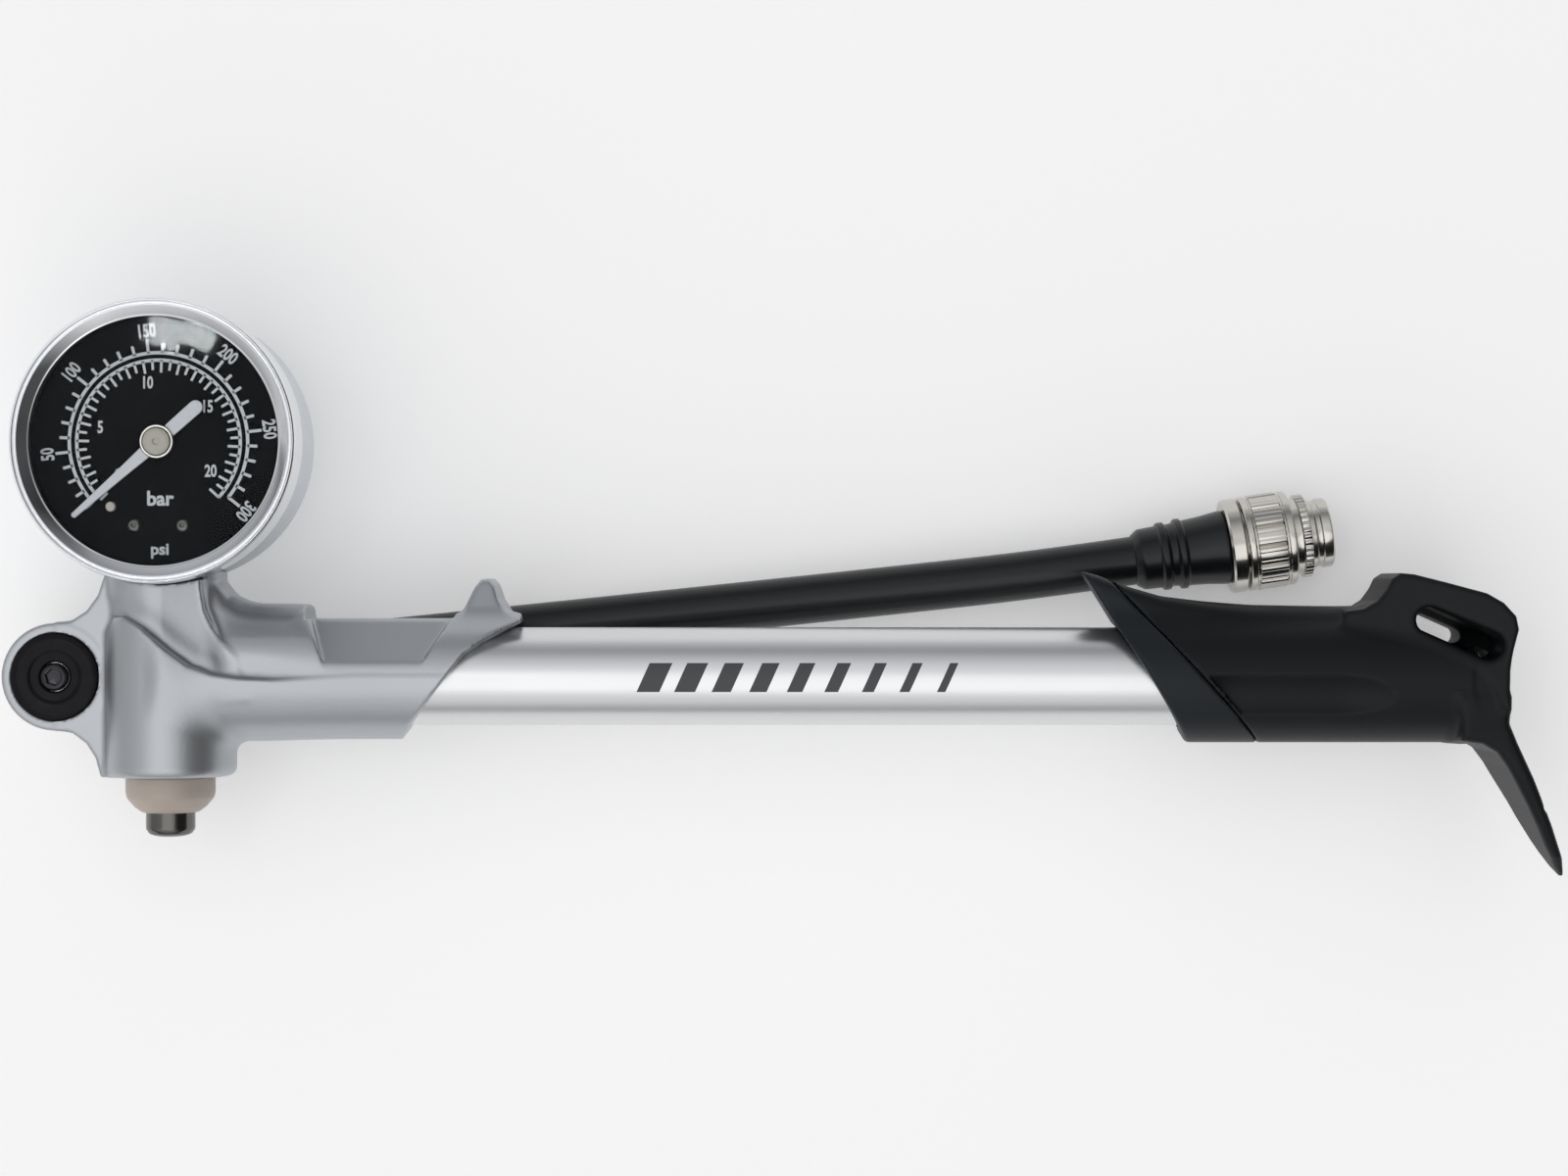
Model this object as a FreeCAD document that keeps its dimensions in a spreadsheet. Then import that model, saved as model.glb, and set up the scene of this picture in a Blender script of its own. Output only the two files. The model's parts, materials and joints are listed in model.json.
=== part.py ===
import FreeCAD, Part
import math
import os
import re
import Sketcher

# A hand pump for air shocks, lying on its back with the gauge facing up.
# X runs along the barrel from the head to the grip, Y runs from the bleed valve to the gauge,
# Z is up. The origin is on the barrel's axis, halfway along its bare length. Millimetres.

doc = FreeCAD.newDocument("shock_pump")
sheet = doc.addObject("Spreadsheet::Sheet", "Sizes")

SIZES = {
    "running_gap": 0.05,       # a shaft that turns or slides in its hole
    "seat_gap": 0.02,          # a piece that is pushed or screwed home
    # head casting
    "head_reach": 92.9,        # origin to the axis of the upright body
    "eye_pitch": 16.6,         # upright axis to the hose pivot
    "eye_radius": 8.0,
    "eye_front": 4.2,
    "eye_back": 8.6,
    "web_front": 3.4,
    "upright_radius": 9.9,
    "upright_low": 15.1,
    "neck_radius": 9.0,
    "neck_start": 9.5,
    "head_back": 9.0,
    "collar_wall": 2.6,        # metal outside the barrel at the raised collar
    "collar_start": 13.4,      # from the upright axis
    "collar_width": 7.5,
    "sleeve_wall": 2.05,       # metal outside the barrel along the sleeve
    "sleeve_reach": 53.0,      # upright axis to the tip of the sleeve
    "waist_wall": 1.1,         # metal outside the barrel where the sleeve is dished
    "fin_height": 14.7,
    "fin_back": 9.2,
    "fin_front": 1.0,
    "chamber_radius": 2.5,
    "passage_radius": 1.1,
    # barrel and plunger
    "barrel_radius": 7.4,
    "barrel_wall": 1.2,
    "barrel_far": 92.0,        # origin to the barrel's open end
    "barrel_seat": 10.0,       # upright axis to the barrel's sealed end
    "rod_radius": 4.0,
    "guide_length": 10.0,
    "guide_flange": 1.0,
    "piston_length": 7.0,
    "piston_rest": 5.0,        # piston to the barrel's sealed end when pushed home
    "bumper_length": 3.0,
    "spigot_radius": 3.0,
    # grip
    "grip_bore_gap": 0.35,
    "grip_wall": 2.25,
    "grip_wall_gap": 1.0,      # barrel end cap to the wall that closes the grip
    "grip_end_wall": 7.5,
    "grip_front_top": 44.5,    # slanted front edge, at the ear
    "grip_front_low": 60.7,
    "ear_height": 15.9,
    "ear_half": 5.0,
    "dish_depth": 0.8,
    "bush_wall": 0.9,
    "bush_length": 8.0,
    "palm_top": 15.4,
    "palm_length": 6.0,        # palm rest beyond the end of the grip's tube
    "palm_drop": 30.4,
    "slot_long": 13.0,
    "slot_wide": 3.7,
    # gauge
    "gauge_stand": 14.45,      # barrel axis to the underside of the gauge
    "gauge_radius": 20.6,
    "gauge_back": 8.0,
    "gauge_wall": 1.0,
    "bezel_lap": 0.5,          # the bezel stands out past the case
    "bezel_front": 14.0,
    "bezel_skirt": 8.0,
    "dial_level": 8.2,
    "dial_thick": 0.6,
    "needle_gap": 2.25,        # tip of the hand to the case wall
    "needle_tail": 8.7,
    "lens_level": 11.4,
    "lens_thick": 1.2,
    "stem_radius": 4.5,
    "stem_depth": 9.0,
    # bleed valve
    "bleed_bush_radius": 6.7,
    "bleed_bush_band": 2.95,
    "bleed_bush_cone": 2.55,
    "bleed_thread": 5.0,
    "bleed_thread_depth": 6.0,
    "bleed_pin_radius": 3.7,
    "bleed_pin_show": 3.6,
    "bleed_pocket": 8.6,
    "bleed_stem": 1.2,
    "bleed_travel": 1.5,
    # hose and coupler
    "hose_radius": 3.8,
    "hose_level": 13.6,        # below the barrel's axis
    "banjo_radius": 7.0,
    "banjo_half": 4.2,
    "banjo_stub": 9.0,
    "bolt_radius": 3.5,
    "bolt_head": 5.6,
    "boot_length": 14.0,
    "boot_end": 5.75,
    "flange_radius": 7.35,
    "flange_width": 2.4,
    "swivel_radius": 5.2,
    "swivel_length": 3.6,
    "nut_radius": 7.5,
    "nut_length": 7.3,
    "nose_radius": 5.4,
    "nose_length": 6.2,
    "valve_radius": 3.85,
    "valve_depth": 8.0,
}

for row, (alias, amount) in enumerate(SIZES.items(), start=1):
    sheet.set("A%d" % row, alias.replace("_", " "))
    sheet.set("B%d" % row, str(amount))
    sheet.setAlias("B%d" % row, alias)
doc.recompute()

# Radii and heights that follow from the pieces they go round.
FOLLOW = {
    "collar_radius": "(barrel_radius + collar_wall)",
    "sleeve_radius": "(barrel_radius + sleeve_wall)",
    "sleeve_waist": "(barrel_radius + waist_wall)",
    "grip_radius": "(barrel_radius + grip_bore_gap + grip_wall)",
    "gauge_lift": "(gauge_stand + gauge_radius)",
    "bezel_radius": "(gauge_radius + bezel_lap)",
    "needle_reach": "(gauge_radius - gauge_wall - 0.65 - needle_gap)",
}

NODES = []
TINY = 1e-6
FRONT_TURN = ((0, 1, 0), -90)    # a piece turned about X is stood up along Z
UPRIGHT_TURN = ((0, 0, 1), 90)   # a piece turned about X is stood up along Y


def formula(text):
    """Write an expression on the sheet's aliases the way the document reads it."""
    text = re.sub(r"[a-z_]+", lambda word: FOLLOW.get(word.group(0), word.group(0)), text)

    def from_sheet(word):
        name = word.group(0)
        return "Sizes." + name if name in SIZES else name

    return re.sub(r"[a-z_]+", from_sheet, text)


def value(text):
    """The number that an expression has now."""
    number = sheet.evalExpression(formula(text))
    return float(getattr(number, "Value", number))


def bind(item, **settings):
    """Tie an object's properties to expressions."""
    for name, text in settings.items():
        item.setExpression(name, formula(text))


def put(item, at, turn=None):
    """Place an object at expressions, turned by an axis and an angle."""
    if turn:
        item.Placement = FreeCAD.Placement(FreeCAD.Vector(),
                                           FreeCAD.Rotation(FreeCAD.Vector(*turn[0]), turn[1]))
    for letter, text in zip("xyz", at):
        item.setExpression("Placement.Base." + letter, formula(text))


def keep(item, label):
    """Name a finished sub-part."""
    item.Label = label
    NODES.append(item)
    return item


def outline(sketch, corners):
    """Draw a closed outline whose every corner is held by two expressions."""
    spots = [FreeCAD.Vector(value(across), value(up), 0) for across, up in corners]
    count = len(spots)
    sketch.addGeometry([Part.LineSegment(spots[i], spots[(i + 1) % count]) for i in range(count)], False)
    joints = [Sketcher.Constraint("Coincident", i, 2, (i + 1) % count, 1) for i in range(count)]
    sketch.addConstraint(joints)
    for i, corner in enumerate(corners):
        for kind, text in zip(("DistanceX", "DistanceY"), corner):
            held = sketch.addConstraint(Sketcher.Constraint(kind, i, 1, value(text)))
            sketch.setExpression("Constraints[%d]" % held, formula(text))


def plane(body, role):
    """One of a body's own origin planes."""
    return next(item for item in body.Origin.OriginFeatures if item.Role == role)


def turned(label, profile, at=("0", "0", "0"), turn=None):
    """A body turned about X from a profile of (along, radius) corners."""
    body = doc.addObject("PartDesign::Body", label)
    sketch = body.newObject("Sketcher::SketchObject", label + "_profile")
    sketch.AttachmentSupport = [(plane(body, "XY_Plane"), "")]
    sketch.MapMode = "FlatFace"
    outline(sketch, profile)
    lathe = body.newObject("PartDesign::Revolution", label + "_turned")
    lathe.Profile = sketch
    lathe.ReferenceAxis = (sketch, ["H_Axis"])
    lathe.Angle = 360
    put(body, at, turn)
    return keep(body, label)


def plate(label, corners, thickness, at, turn=None):
    """A body padded up from a flat outline."""
    body = doc.addObject("PartDesign::Body", label)
    sketch = body.newObject("Sketcher::SketchObject", label + "_outline")
    sketch.AttachmentSupport = [(plane(body, "XY_Plane"), "")]
    sketch.MapMode = "FlatFace"
    outline(sketch, corners)
    pad = body.newObject("PartDesign::Pad", label + "_pad")
    pad.Profile = sketch
    bind(pad, Length=thickness)
    put(body, at, turn)
    return keep(body, label)


def prism(name, corners, low, high, facing="up"):
    """A straight block from an outline; facing up it runs along Z, facing along it runs along X."""
    sketch = doc.addObject("Sketcher::SketchObject", name + "_outline")
    outline(sketch, corners)
    if facing == "along":
        sketch.Placement.Rotation = FreeCAD.Rotation(FreeCAD.Vector(1, 1, 1), 120)
    block = doc.addObject("Part::Extrusion", name)
    block.Base = sketch
    block.DirMode = "Custom"
    block.Dir = (1, 0, 0) if facing == "along" else (0, 0, 1)
    block.Solid = True
    bind(block, LengthFwd=high, LengthRev="0 - (" + low + ")")
    return block


def rod(name, radius, length, at, turn=None):
    """A plain cylinder, along Z before it is turned."""
    item = doc.addObject("Part::Cylinder", name)
    bind(item, Radius=radius, Height=length)
    put(item, at, turn)
    return item


def block(name, corner, span, turn=None):
    """A plain box from its low corner."""
    item = doc.addObject("Part::Box", name)
    bind(item, Length=span[0], Width=span[1], Height=span[2])
    put(item, corner, turn)
    return item


def join(name, pieces):
    """Several shapes as one."""
    item = doc.addObject("Part::MultiFuse", name)
    item.Shapes = pieces
    return item


def common(name, pieces):
    """What several shapes share."""
    item = doc.addObject("Part::MultiCommon", name)
    item.Shapes = pieces
    return item


def cut(name, base, tool):
    """One shape less another, which has to take something away."""
    item = doc.addObject("Part::Cut", name)
    item.Base = base
    item.Tool = tool
    doc.recompute()
    if item.Shape.Volume > base.Shape.Volume - TINY:
        raise RuntimeError(name + " takes nothing away")
    return item


ALONG_X = ((0, 1, 0), 90)
ALONG_Y = ((1, 0, 0), -90)


def tube_profile(start, end, inner, outer):
    """The four corners of a plain sleeve."""
    return [(start, inner), (end, inner), (end, outer), (start, outer)]


# ---------------------------------------------------------------- head casting

UPRIGHT = "0 - head_reach"
EYE = "0 - head_reach - eye_pitch"
BARREL_HOME = "0 - head_reach + barrel_seat"
SLEEVE_END = "0 - head_reach + sleeve_reach"


def at_upright(shift):
    """A place along X measured from the upright body's axis."""
    return "0 - head_reach + (" + shift + ")"


def at_tip(shift):
    """A place along X measured back from the tip of the sleeve."""
    return "0 - head_reach + sleeve_reach - (" + shift + ")"


def make_head():
    """The casting: eye, web, upright body with a saddle for the gauge, and barrel sleeve with its fin."""
    upright_sketch = doc.addObject("Sketcher::SketchObject", "upright_outline")
    outline(upright_sketch, [
        ("0", "0 - upright_low"), ("upright_radius - 0.6", "0 - upright_low"),
        ("upright_radius", "0.6 - upright_low"), ("upright_radius", "neck_start - 2"),
        ("neck_radius", "neck_start + 4"), ("neck_radius", "neck_start + 8"), ("0", "neck_start + 8")])
    upright = doc.addObject("Part::Revolution", "upright")
    upright.Source = upright_sketch
    upright.Axis = (0, 1, 0)
    upright.Angle = 360
    upright.Solid = True
    put(upright, (UPRIGHT, "0", "0"))
    eye = rod("eye", "eye_radius", "eye_front + eye_back", (EYE, "0", "0 - eye_back"))
    web = prism("web", [
        (EYE, "eye_radius"), (EYE + " + 5.5", "eye_radius - 1.6"), (at_upright("0 - 8"), "eye_radius"),
        (at_upright("0 - 4"), "eye_radius + 3"), (at_upright("0 - 4"), "0 - eye_radius - 5"),
        (at_upright("0 - 8"), "0 - eye_radius - 1.6"), (EYE + " + 5.5", "1.4 - eye_radius"),
        (EYE, "0 - eye_radius")], "0 - eye_back + 0.8", "web_front")
    shoulder = prism("shoulder", [
        (at_upright("4"), "neck_start + 4.5"), (at_upright("8.6"), "neck_start + 4.6"),
        (at_upright("10"), "neck_start + 2"), (at_upright("collar_start"), "collar_radius - 0.3"),
        (at_upright("collar_start"), "0 - sleeve_radius + 0.3"),
        (at_upright("11.2"), "0 - sleeve_radius - 1.5"),
        (at_upright("9.9"), "1 - upright_low"), (at_upright("4"), "1 - upright_low")], "0 - 6.5", "6.5")
    collar = rod("collar", "collar_radius", "collar_width", (at_upright("collar_start"), "0", "0"),
                 ALONG_X)
    sleeve = rod("sleeve", "sleeve_radius", "sleeve_reach", (UPRIGHT, "0", "0"), ALONG_X)
    bevel = prism("sleeve_bevel", [
        (at_tip("17.7"), "0 - sleeve_radius - 3"), (at_tip("17.7"), "0.3 - sleeve_radius"),
        (at_tip("9.7"), "1"),
        (at_tip("7.6"), "3.8"), (at_tip("4.8"), "6"), (at_tip("0"), "sleeve_radius - 1"),
        (at_tip("0"), "sleeve_radius + 3"), (at_tip("0 - 5"), "sleeve_radius + 3"),
        (at_tip("0 - 5"), "0 - sleeve_radius - 3")], "0 - sleeve_radius - 3", "sleeve_radius + 3")
    bevelled = cut("bevelled_sleeve", sleeve, bevel)
    waist_band = prism("waist_band", [
        (at_upright("21.4"), "sleeve_radius + 1"), (at_upright("42.9"), "sleeve_radius + 1"),
        (at_upright("42.9"), "sleeve_waist"), (at_upright("38.9"), "2.2"), (at_upright("24.9"), "2.2"),
        (at_upright("21.4"), "sleeve_waist")], "0", "sleeve_radius + 1")
    waist_core = rod("waist_core", "sleeve_waist", "sleeve_reach", (UPRIGHT, "0", "0"), ALONG_X)
    waist = cut("waist", waist_band, waist_core)
    waisted = cut("waisted_sleeve", bevelled, waist)
    fin = prism("fin", [
        (at_tip("12"), "3"), (at_tip("8.9"), "sleeve_radius - 0.8"), (at_tip("7.5"), "fin_height - 3.2"),
        (at_tip("6"), "fin_height - 0.4"), (at_tip("5"), "fin_height"),
        (at_tip("4.2"), "fin_height - 0.7"),
        (at_tip("3.2"), "fin_height - 3.2"), (at_tip("2"), "fin_height - 5.2"),
        (at_tip("0.4"), "sleeve_radius - 1"),
        (at_tip("6"), "5.5"), (at_tip("9"), "3")], "0 - fin_back", "fin_front")
    solid = join("head_mass", [upright, eye, web, shoulder, collar, waisted, fin])
    saddle = rod("saddle", "gauge_radius + running_gap", "gauge_back + bezel_front",
                 (UPRIGHT, "gauge_lift", "0 - gauge_back - seat_gap"))
    bezel_room = rod("bezel_room", "bezel_radius + 0.2", "bezel_front",
                     (UPRIGHT, "gauge_lift", "bezel_front - bezel_skirt - 0.2"))
    back_trim = block("back_trim", (at_upright("0 - 15"), "0 - 30", "0 - head_back - 20"),
                      ("sleeve_reach + 20", "60", "20"))
    barrel_bore = rod("barrel_bore", "barrel_radius + seat_gap", "sleeve_reach",
                      (BARREL_HOME, "0", "0"), ALONG_X)
    valve_bore = rod("valve_bore", "2", "5.2", (at_upright("barrel_seat - 5.2"), "0", "0"), ALONG_X)
    passage = rod("passage", "passage_radius", "eye_pitch + barrel_seat - 5", (EYE, "0", "0"), ALONG_X)
    eye_bore = rod("eye_bore", "bolt_radius + seat_gap", "eye_front + eye_back + 2",
                   (EYE, "0", "0 - eye_back - 1"))
    eye_dish = rod("eye_dish", "eye_radius - 1.45", "2", (EYE, "0", "eye_front - 1"))
    stem_bore = rod("stem_bore", "stem_radius + seat_gap", "30",
                    (UPRIGHT, "gauge_lift - gauge_radius - stem_depth - 0.7", "0"), ALONG_Y)
    chamber_low = "bleed_thread_depth - upright_low"
    chamber = rod("chamber", "chamber_radius",
                  "gauge_lift - gauge_radius - stem_depth - (" + chamber_low + ")",
                  (UPRIGHT, chamber_low, "0"), ALONG_Y)
    bleed_bore = rod("bleed_bore", "bleed_thread + seat_gap", "bleed_thread_depth + 0.3 + 5",
                     (UPRIGHT, "0 - upright_low - 5", "0"), ALONG_Y)
    hollows = join("head_hollows", [saddle, bezel_room, back_trim, barrel_bore, valve_bore, passage,
                                    eye_bore, eye_dish, stem_bore, chamber, bleed_bore])
    keep(cut("head_cut", solid, hollows), "head_body")


def make_barrel():
    """The bright tube, its seal in the head and the cap that guides the rod."""
    turned("barrel_tube", tube_profile(BARREL_HOME, "barrel_far", "barrel_radius - barrel_wall",
                                       "barrel_radius"))
    inner = "barrel_radius - barrel_wall - seat_gap"
    turned("rod_guide", [
        ("barrel_far - guide_length", "rod_radius + running_gap"),
        ("barrel_far + guide_flange", "rod_radius + running_gap"),
        ("barrel_far + guide_flange", "barrel_radius"),
        ("barrel_far", "barrel_radius"), ("barrel_far", inner), ("barrel_far - guide_length", inner)])
    turned("guide_seal", tube_profile("barrel_far - guide_length - 1.2",
                                      "barrel_far - guide_length - 0.05",
                                      "rod_radius + running_gap", inner))
    turned("valve_seat", tube_profile(BARREL_HOME, BARREL_HOME + " + 2", "1", inner))
    ball = doc.addObject("Part::Sphere", "valve_ball")
    bind(ball, Radius="1.6")
    put(ball, (BARREL_HOME + " - 1.32", "0", "0"))
    keep(ball, "valve_ball")
    spring("valve_spring", 1.3, 0.22, 1.9, 3,
           FreeCAD.Placement(FreeCAD.Vector(value(BARREL_HOME) - 5.0, 0, 0),
                             FreeCAD.Rotation(FreeCAD.Vector(0, 1, 0), 90)))


def spring(label, middle, wire, length, turns, placement):
    """A wire spring: rings a pitch apart joined by short slanting bars, from three sizes and a count."""
    pitch = (length - 2 * wire) / (turns - 1)
    coils = []
    for number in range(turns):
        level = wire + number * pitch
        coils.append(Part.makeTorus(middle, wire, FreeCAD.Vector(0, 0, level)))
        if number:
            side = math.pi * number
            spot = FreeCAD.Vector(middle * math.cos(side), middle * math.sin(side), level - pitch)
            coils.append(Part.makeCylinder(wire * 0.8, pitch, spot, FreeCAD.Vector(0, 0, 1)))
    wound = coils[0].multiFuse(coils[1:])
    item = doc.addObject("Part::Feature", label)
    item.Shape = wound
    item.Placement = placement
    return keep(item, label)


# ---------------------------------------------------------------- plunger and grip

PISTON_BACK = BARREL_HOME + " + piston_rest"
PISTON_FRONT = PISTON_BACK + " + piston_length"
GRIP_WALL = "barrel_far + guide_flange + grip_wall_gap"
GRIP_END = GRIP_WALL + " + grip_end_wall"
PALM_END = GRIP_END + " + palm_length"


def make_plunger():
    """The rod with its piston, ring, bumper and the screw that holds the grip on its spigot."""
    turned("piston_rod", [
        (PISTON_BACK + " + 1.5", "0"), (GRIP_END + " + 0.3", "0"), (GRIP_END + " + 0.3", "spigot_radius"),
        (GRIP_WALL + " - 0.3", "spigot_radius"), (GRIP_WALL + " - 0.3", "rod_radius"),
        (PISTON_FRONT, "rod_radius"), (PISTON_FRONT, "2.2"), (PISTON_BACK + " + 1.5", "2.2")])
    bore = "barrel_radius - barrel_wall"
    groove = bore + " - 1.3"
    turned("piston_head", [
        (PISTON_BACK, "0"), (PISTON_BACK + " + 1.5", "0"), (PISTON_BACK + " + 1.5", "2.2 + seat_gap"),
        (PISTON_FRONT, "2.2 + seat_gap"), (PISTON_FRONT, bore + " - 0.08"),
        (PISTON_BACK + " + 4.6", bore + " - 0.08"), (PISTON_BACK + " + 4.6", groove),
        (PISTON_BACK + " + 2.6", groove), (PISTON_BACK + " + 2.6", bore + " - 0.08"),
        (PISTON_BACK, bore + " - 0.08")])
    turned("piston_ring", tube_profile(PISTON_BACK + " + 2.7", PISTON_BACK + " + 4.5",
                                       groove + " + seat_gap", bore + " - 0.03"))
    turned("stroke_bumper", tube_profile(PISTON_FRONT + " + 0.02", PISTON_FRONT + " + bumper_length",
                                         "rod_radius + seat_gap", bore + " - 0.5"))
    head = GRIP_END + " + 0.35"
    turned("grip_screw", [
        (head, "0"), (head + " + 0.8", "0"), (head + " + 0.8", "1.6"), (head + " + 3.2", "1.6"),
        (head + " + 3.2", "3.6"), (head + " + 2.8", "4"), (head, "4")])


def grip_slant(push):
    """The slanted cut across the grip's front, moved along X by a push at the top and at the bottom."""
    top_push, low_push = push
    return [("grip_front_top + " + top_push, "ear_height + 0.2"),
            ("grip_front_low + " + low_push, "0 - grip_radius - 0.4"),
            ("grip_front_low + " + low_push, "0 - grip_radius - 10"), ("20", "0 - grip_radius - 10"),
            ("20", "ear_height + 0.2")]


def make_grip():
    """The grip's tube with its ear, the slanted front collar, the nylon bush and the palm rest."""
    tube = rod("grip_tube", "grip_radius", GRIP_END + " - 30", ("30", "0", "0"), ALONG_X)
    ear = prism("grip_ear", [
        ("grip_front_top - 6", "3"), ("grip_front_top - 6", "ear_height + 0.1"),
        ("grip_front_top", "ear_height"),
        ("grip_front_top + 4.5", "ear_height - 1.4"), ("grip_front_top + 11.9", "ear_height - 3.9"),
        ("grip_front_top + 19.1", "ear_height - 4.9"), ("grip_front_top + 30.4", "grip_radius"),
        ("grip_front_top + 30.4", "3")], "0 - ear_half", "ear_half")
    raw = join("grip_raw", [tube, ear])
    bore = rod("grip_bore", "barrel_radius + grip_bore_gap", GRIP_WALL + " - 20", ("20", "0", "0"),
               ALONG_X)
    spigot_bore = rod("spigot_bore", "spigot_radius + running_gap", "40",
                      (GRIP_WALL + " - 1", "0", "0"), ALONG_X)
    bush_room = rod("bush_room", "barrel_radius + running_gap * 2 + bush_wall", "bush_length + 0.1",
                    ("grip_front_low + 12 - 0.05", "0", "0"), ALONG_X)
    hollow = join("grip_hollow", [bore, spigot_bore, bush_room])
    bored = cut("grip_bored", raw, hollow)
    front = prism("front_trim", grip_slant(("0", "0")), "0 - 30", "30")
    trimmed = cut("grip_trimmed", bored, front)
    seam = prism("seam_trim", grip_slant(("2.9", "10.7")), "0 - 30", "30")
    wide_seam = prism("wide_seam_trim", grip_slant(("3.3", "11.1")), "0 - 30", "30")
    keep(common("collar_common", [trimmed, seam]), "grip_collar")
    behind = cut("grip_behind_seam", bored, wide_seam)
    dish_outer = rod("dish_outer", "grip_radius + 2", "29.5", ("grip_front_low + 0.3", "0", "0"), ALONG_X)
    dish_inner = rod("dish_inner", "grip_radius - dish_depth", "29.5",
                     ("grip_front_low + 0.3", "0", "0"), ALONG_X)
    dish_ring = cut("dish_ring", dish_outer, dish_inner)
    dish_shape = prism("dish_shape", [
        ("grip_front_low + 0.5", "0.5"), ("grip_front_low + 24", "0.5"),
        ("grip_front_low + 27.2", "0 - 0.6"),
        ("grip_front_low + 28.6", "0 - 2.7"), ("grip_front_low + 27.2", "0 - 4.8"),
        ("grip_front_low + 24", "0 - 5.9"), ("grip_front_low + 0.5", "0 - 5.9")], "0 - 15", "15")
    dish = common("dish", [dish_ring, dish_shape])
    keep(cut("grip_dished", behind, dish), "grip_body")
    turned("grip_bush", tube_profile("grip_front_low + 12", "grip_front_low + 12 + bush_length",
                                     "barrel_radius + running_gap",
                                     "barrel_radius + running_gap + bush_wall"))
    make_palm_rest()


def make_palm_rest():
    """The lobe with its slot, the end disc and the leaf-shaped wing, as one moulding."""
    end = PALM_END
    lobe_side = prism("lobe_side", [
        (end + " - 20.5", "grip_radius - 0.8"), (end + " - 17.3", "palm_top - 2.9"),
        (end + " - 16.3", "palm_top - 0.8"),
        (end + " - 14.8", "palm_top"), (end + " - 9", "palm_top - 1.3"), (end + " - 2.8", "palm_top - 3"),
        (end + " - 0.4", "palm_top - 4.7"), (end + " + 1.3", "palm_top - 6.8"),
        (end + " + 1.3", "palm_top - 8.4"),
        (end, "2.1"), (end, "0 - 5.8"), (end + " - 2.2", "0 - 8"), (end + " - 20.5", "0 - 8")],
        "0 - grip_radius - 2", "grip_radius + 2")
    lobe_end = prism("lobe_end", [
        ("0 - 12", "0 - grip_radius + 1.6"), ("palm_top + 2", "0 - grip_radius + 0.6"),
        ("palm_top + 2", "grip_radius - 0.6"), ("0 - 12", "grip_radius - 1.6")],
        end + " - 24", end + " + 4", "along")
    lobe = common("lobe", [lobe_side, lobe_end])
    disc = rod("palm_disc", "grip_radius - 0.1", "palm_length", (GRIP_END, "0", "0"), ALONG_X)
    wing_side = prism("wing_side", [
        (end, "0 - 4"), (end + " + 4", "0 - 15.5"), (end + " + 7.6", "0 - 23.3"),
        (end + " + 10.3", "0.4 - palm_drop"), (end + " + 9.3", "0 - palm_drop"), (end + " + 6", "0 - 26"),
        (end + " + 2", "0 - 20.6"), (end + " - 2", "0 - 12.2"), (end + " - 4.1", "0 - 10.1"),
        (end + " - 5.9", "0 - 8.5"), (end + " - 5.9", "0 - 4")], "0 - grip_radius", "grip_radius")
    leaf = prism("wing_leaf", [
        ("0 - 2", "0 - 9.4"), ("0 - 8", "0 - 9.7"), ("0 - 15", "0 - 9"), ("0 - 22", "0 - 6.9"),
        ("0 - 27", "0 - 4.2"), ("0 - palm_drop", "0 - 1.2"), ("0 - palm_drop", "1.2"), ("0 - 27", "4.2"),
        ("0 - 22", "6.9"), ("0 - 15", "9"), ("0 - 8", "9.7"), ("0 - 2", "9.4")],
        end + " - 20", end + " + 20", "along")
    wing = common("wing", [wing_side, leaf])
    mass = join("palm_mass", [lobe, disc, wing])
    tube_room = rod("palm_tube_room", "grip_radius + seat_gap", "40",
                    (GRIP_END + " - 40", "0", "0"), ALONG_X)
    spigot_room = rod("palm_spigot_room", "spigot_radius + running_gap", "5",
                      (GRIP_END + " - 1", "0", "0"), ALONG_X)
    screw_room = rod("palm_screw_room", "4.3", "12", (GRIP_END + " + 0.05", "0", "0"), ALONG_X)
    slot_turn = ((0, 0, 1), -24)
    slot_middle = block("slot_middle", (end + " - 12.5", "7.9", "0 - 20"),
                        ("slot_long - slot_wide", "slot_wide", "40"),
                        slot_turn)
    lean = math.radians(-24)
    slot_ends = []
    for number, reach in enumerate(("0", "slot_long - slot_wide")):
        across = "%s * %.6f" % ("(" + reach + ")", math.cos(lean))
        down = "%s * %.6f" % ("(" + reach + ")", math.sin(lean))
        half_x = "slot_wide / 2 * %.6f" % -math.sin(lean)
        half_y = "slot_wide / 2 * %.6f" % math.cos(lean)
        slot_ends.append(rod("slot_end_%d" % number, "slot_wide / 2", "40",
                             (end + " - 12.5 + " + across + " + " + half_x,
                             "7.9 + " + down + " + " + half_y, "0 - 20")))
    hollow = join("palm_hollow", [tube_room, spigot_room, screw_room, slot_middle] + slot_ends)
    keep(cut("palm_cut", mass, hollow), "palm_rest")


# ---------------------------------------------------------------- gauge

GAUGE = (UPRIGHT, "gauge_lift", "0")


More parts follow.
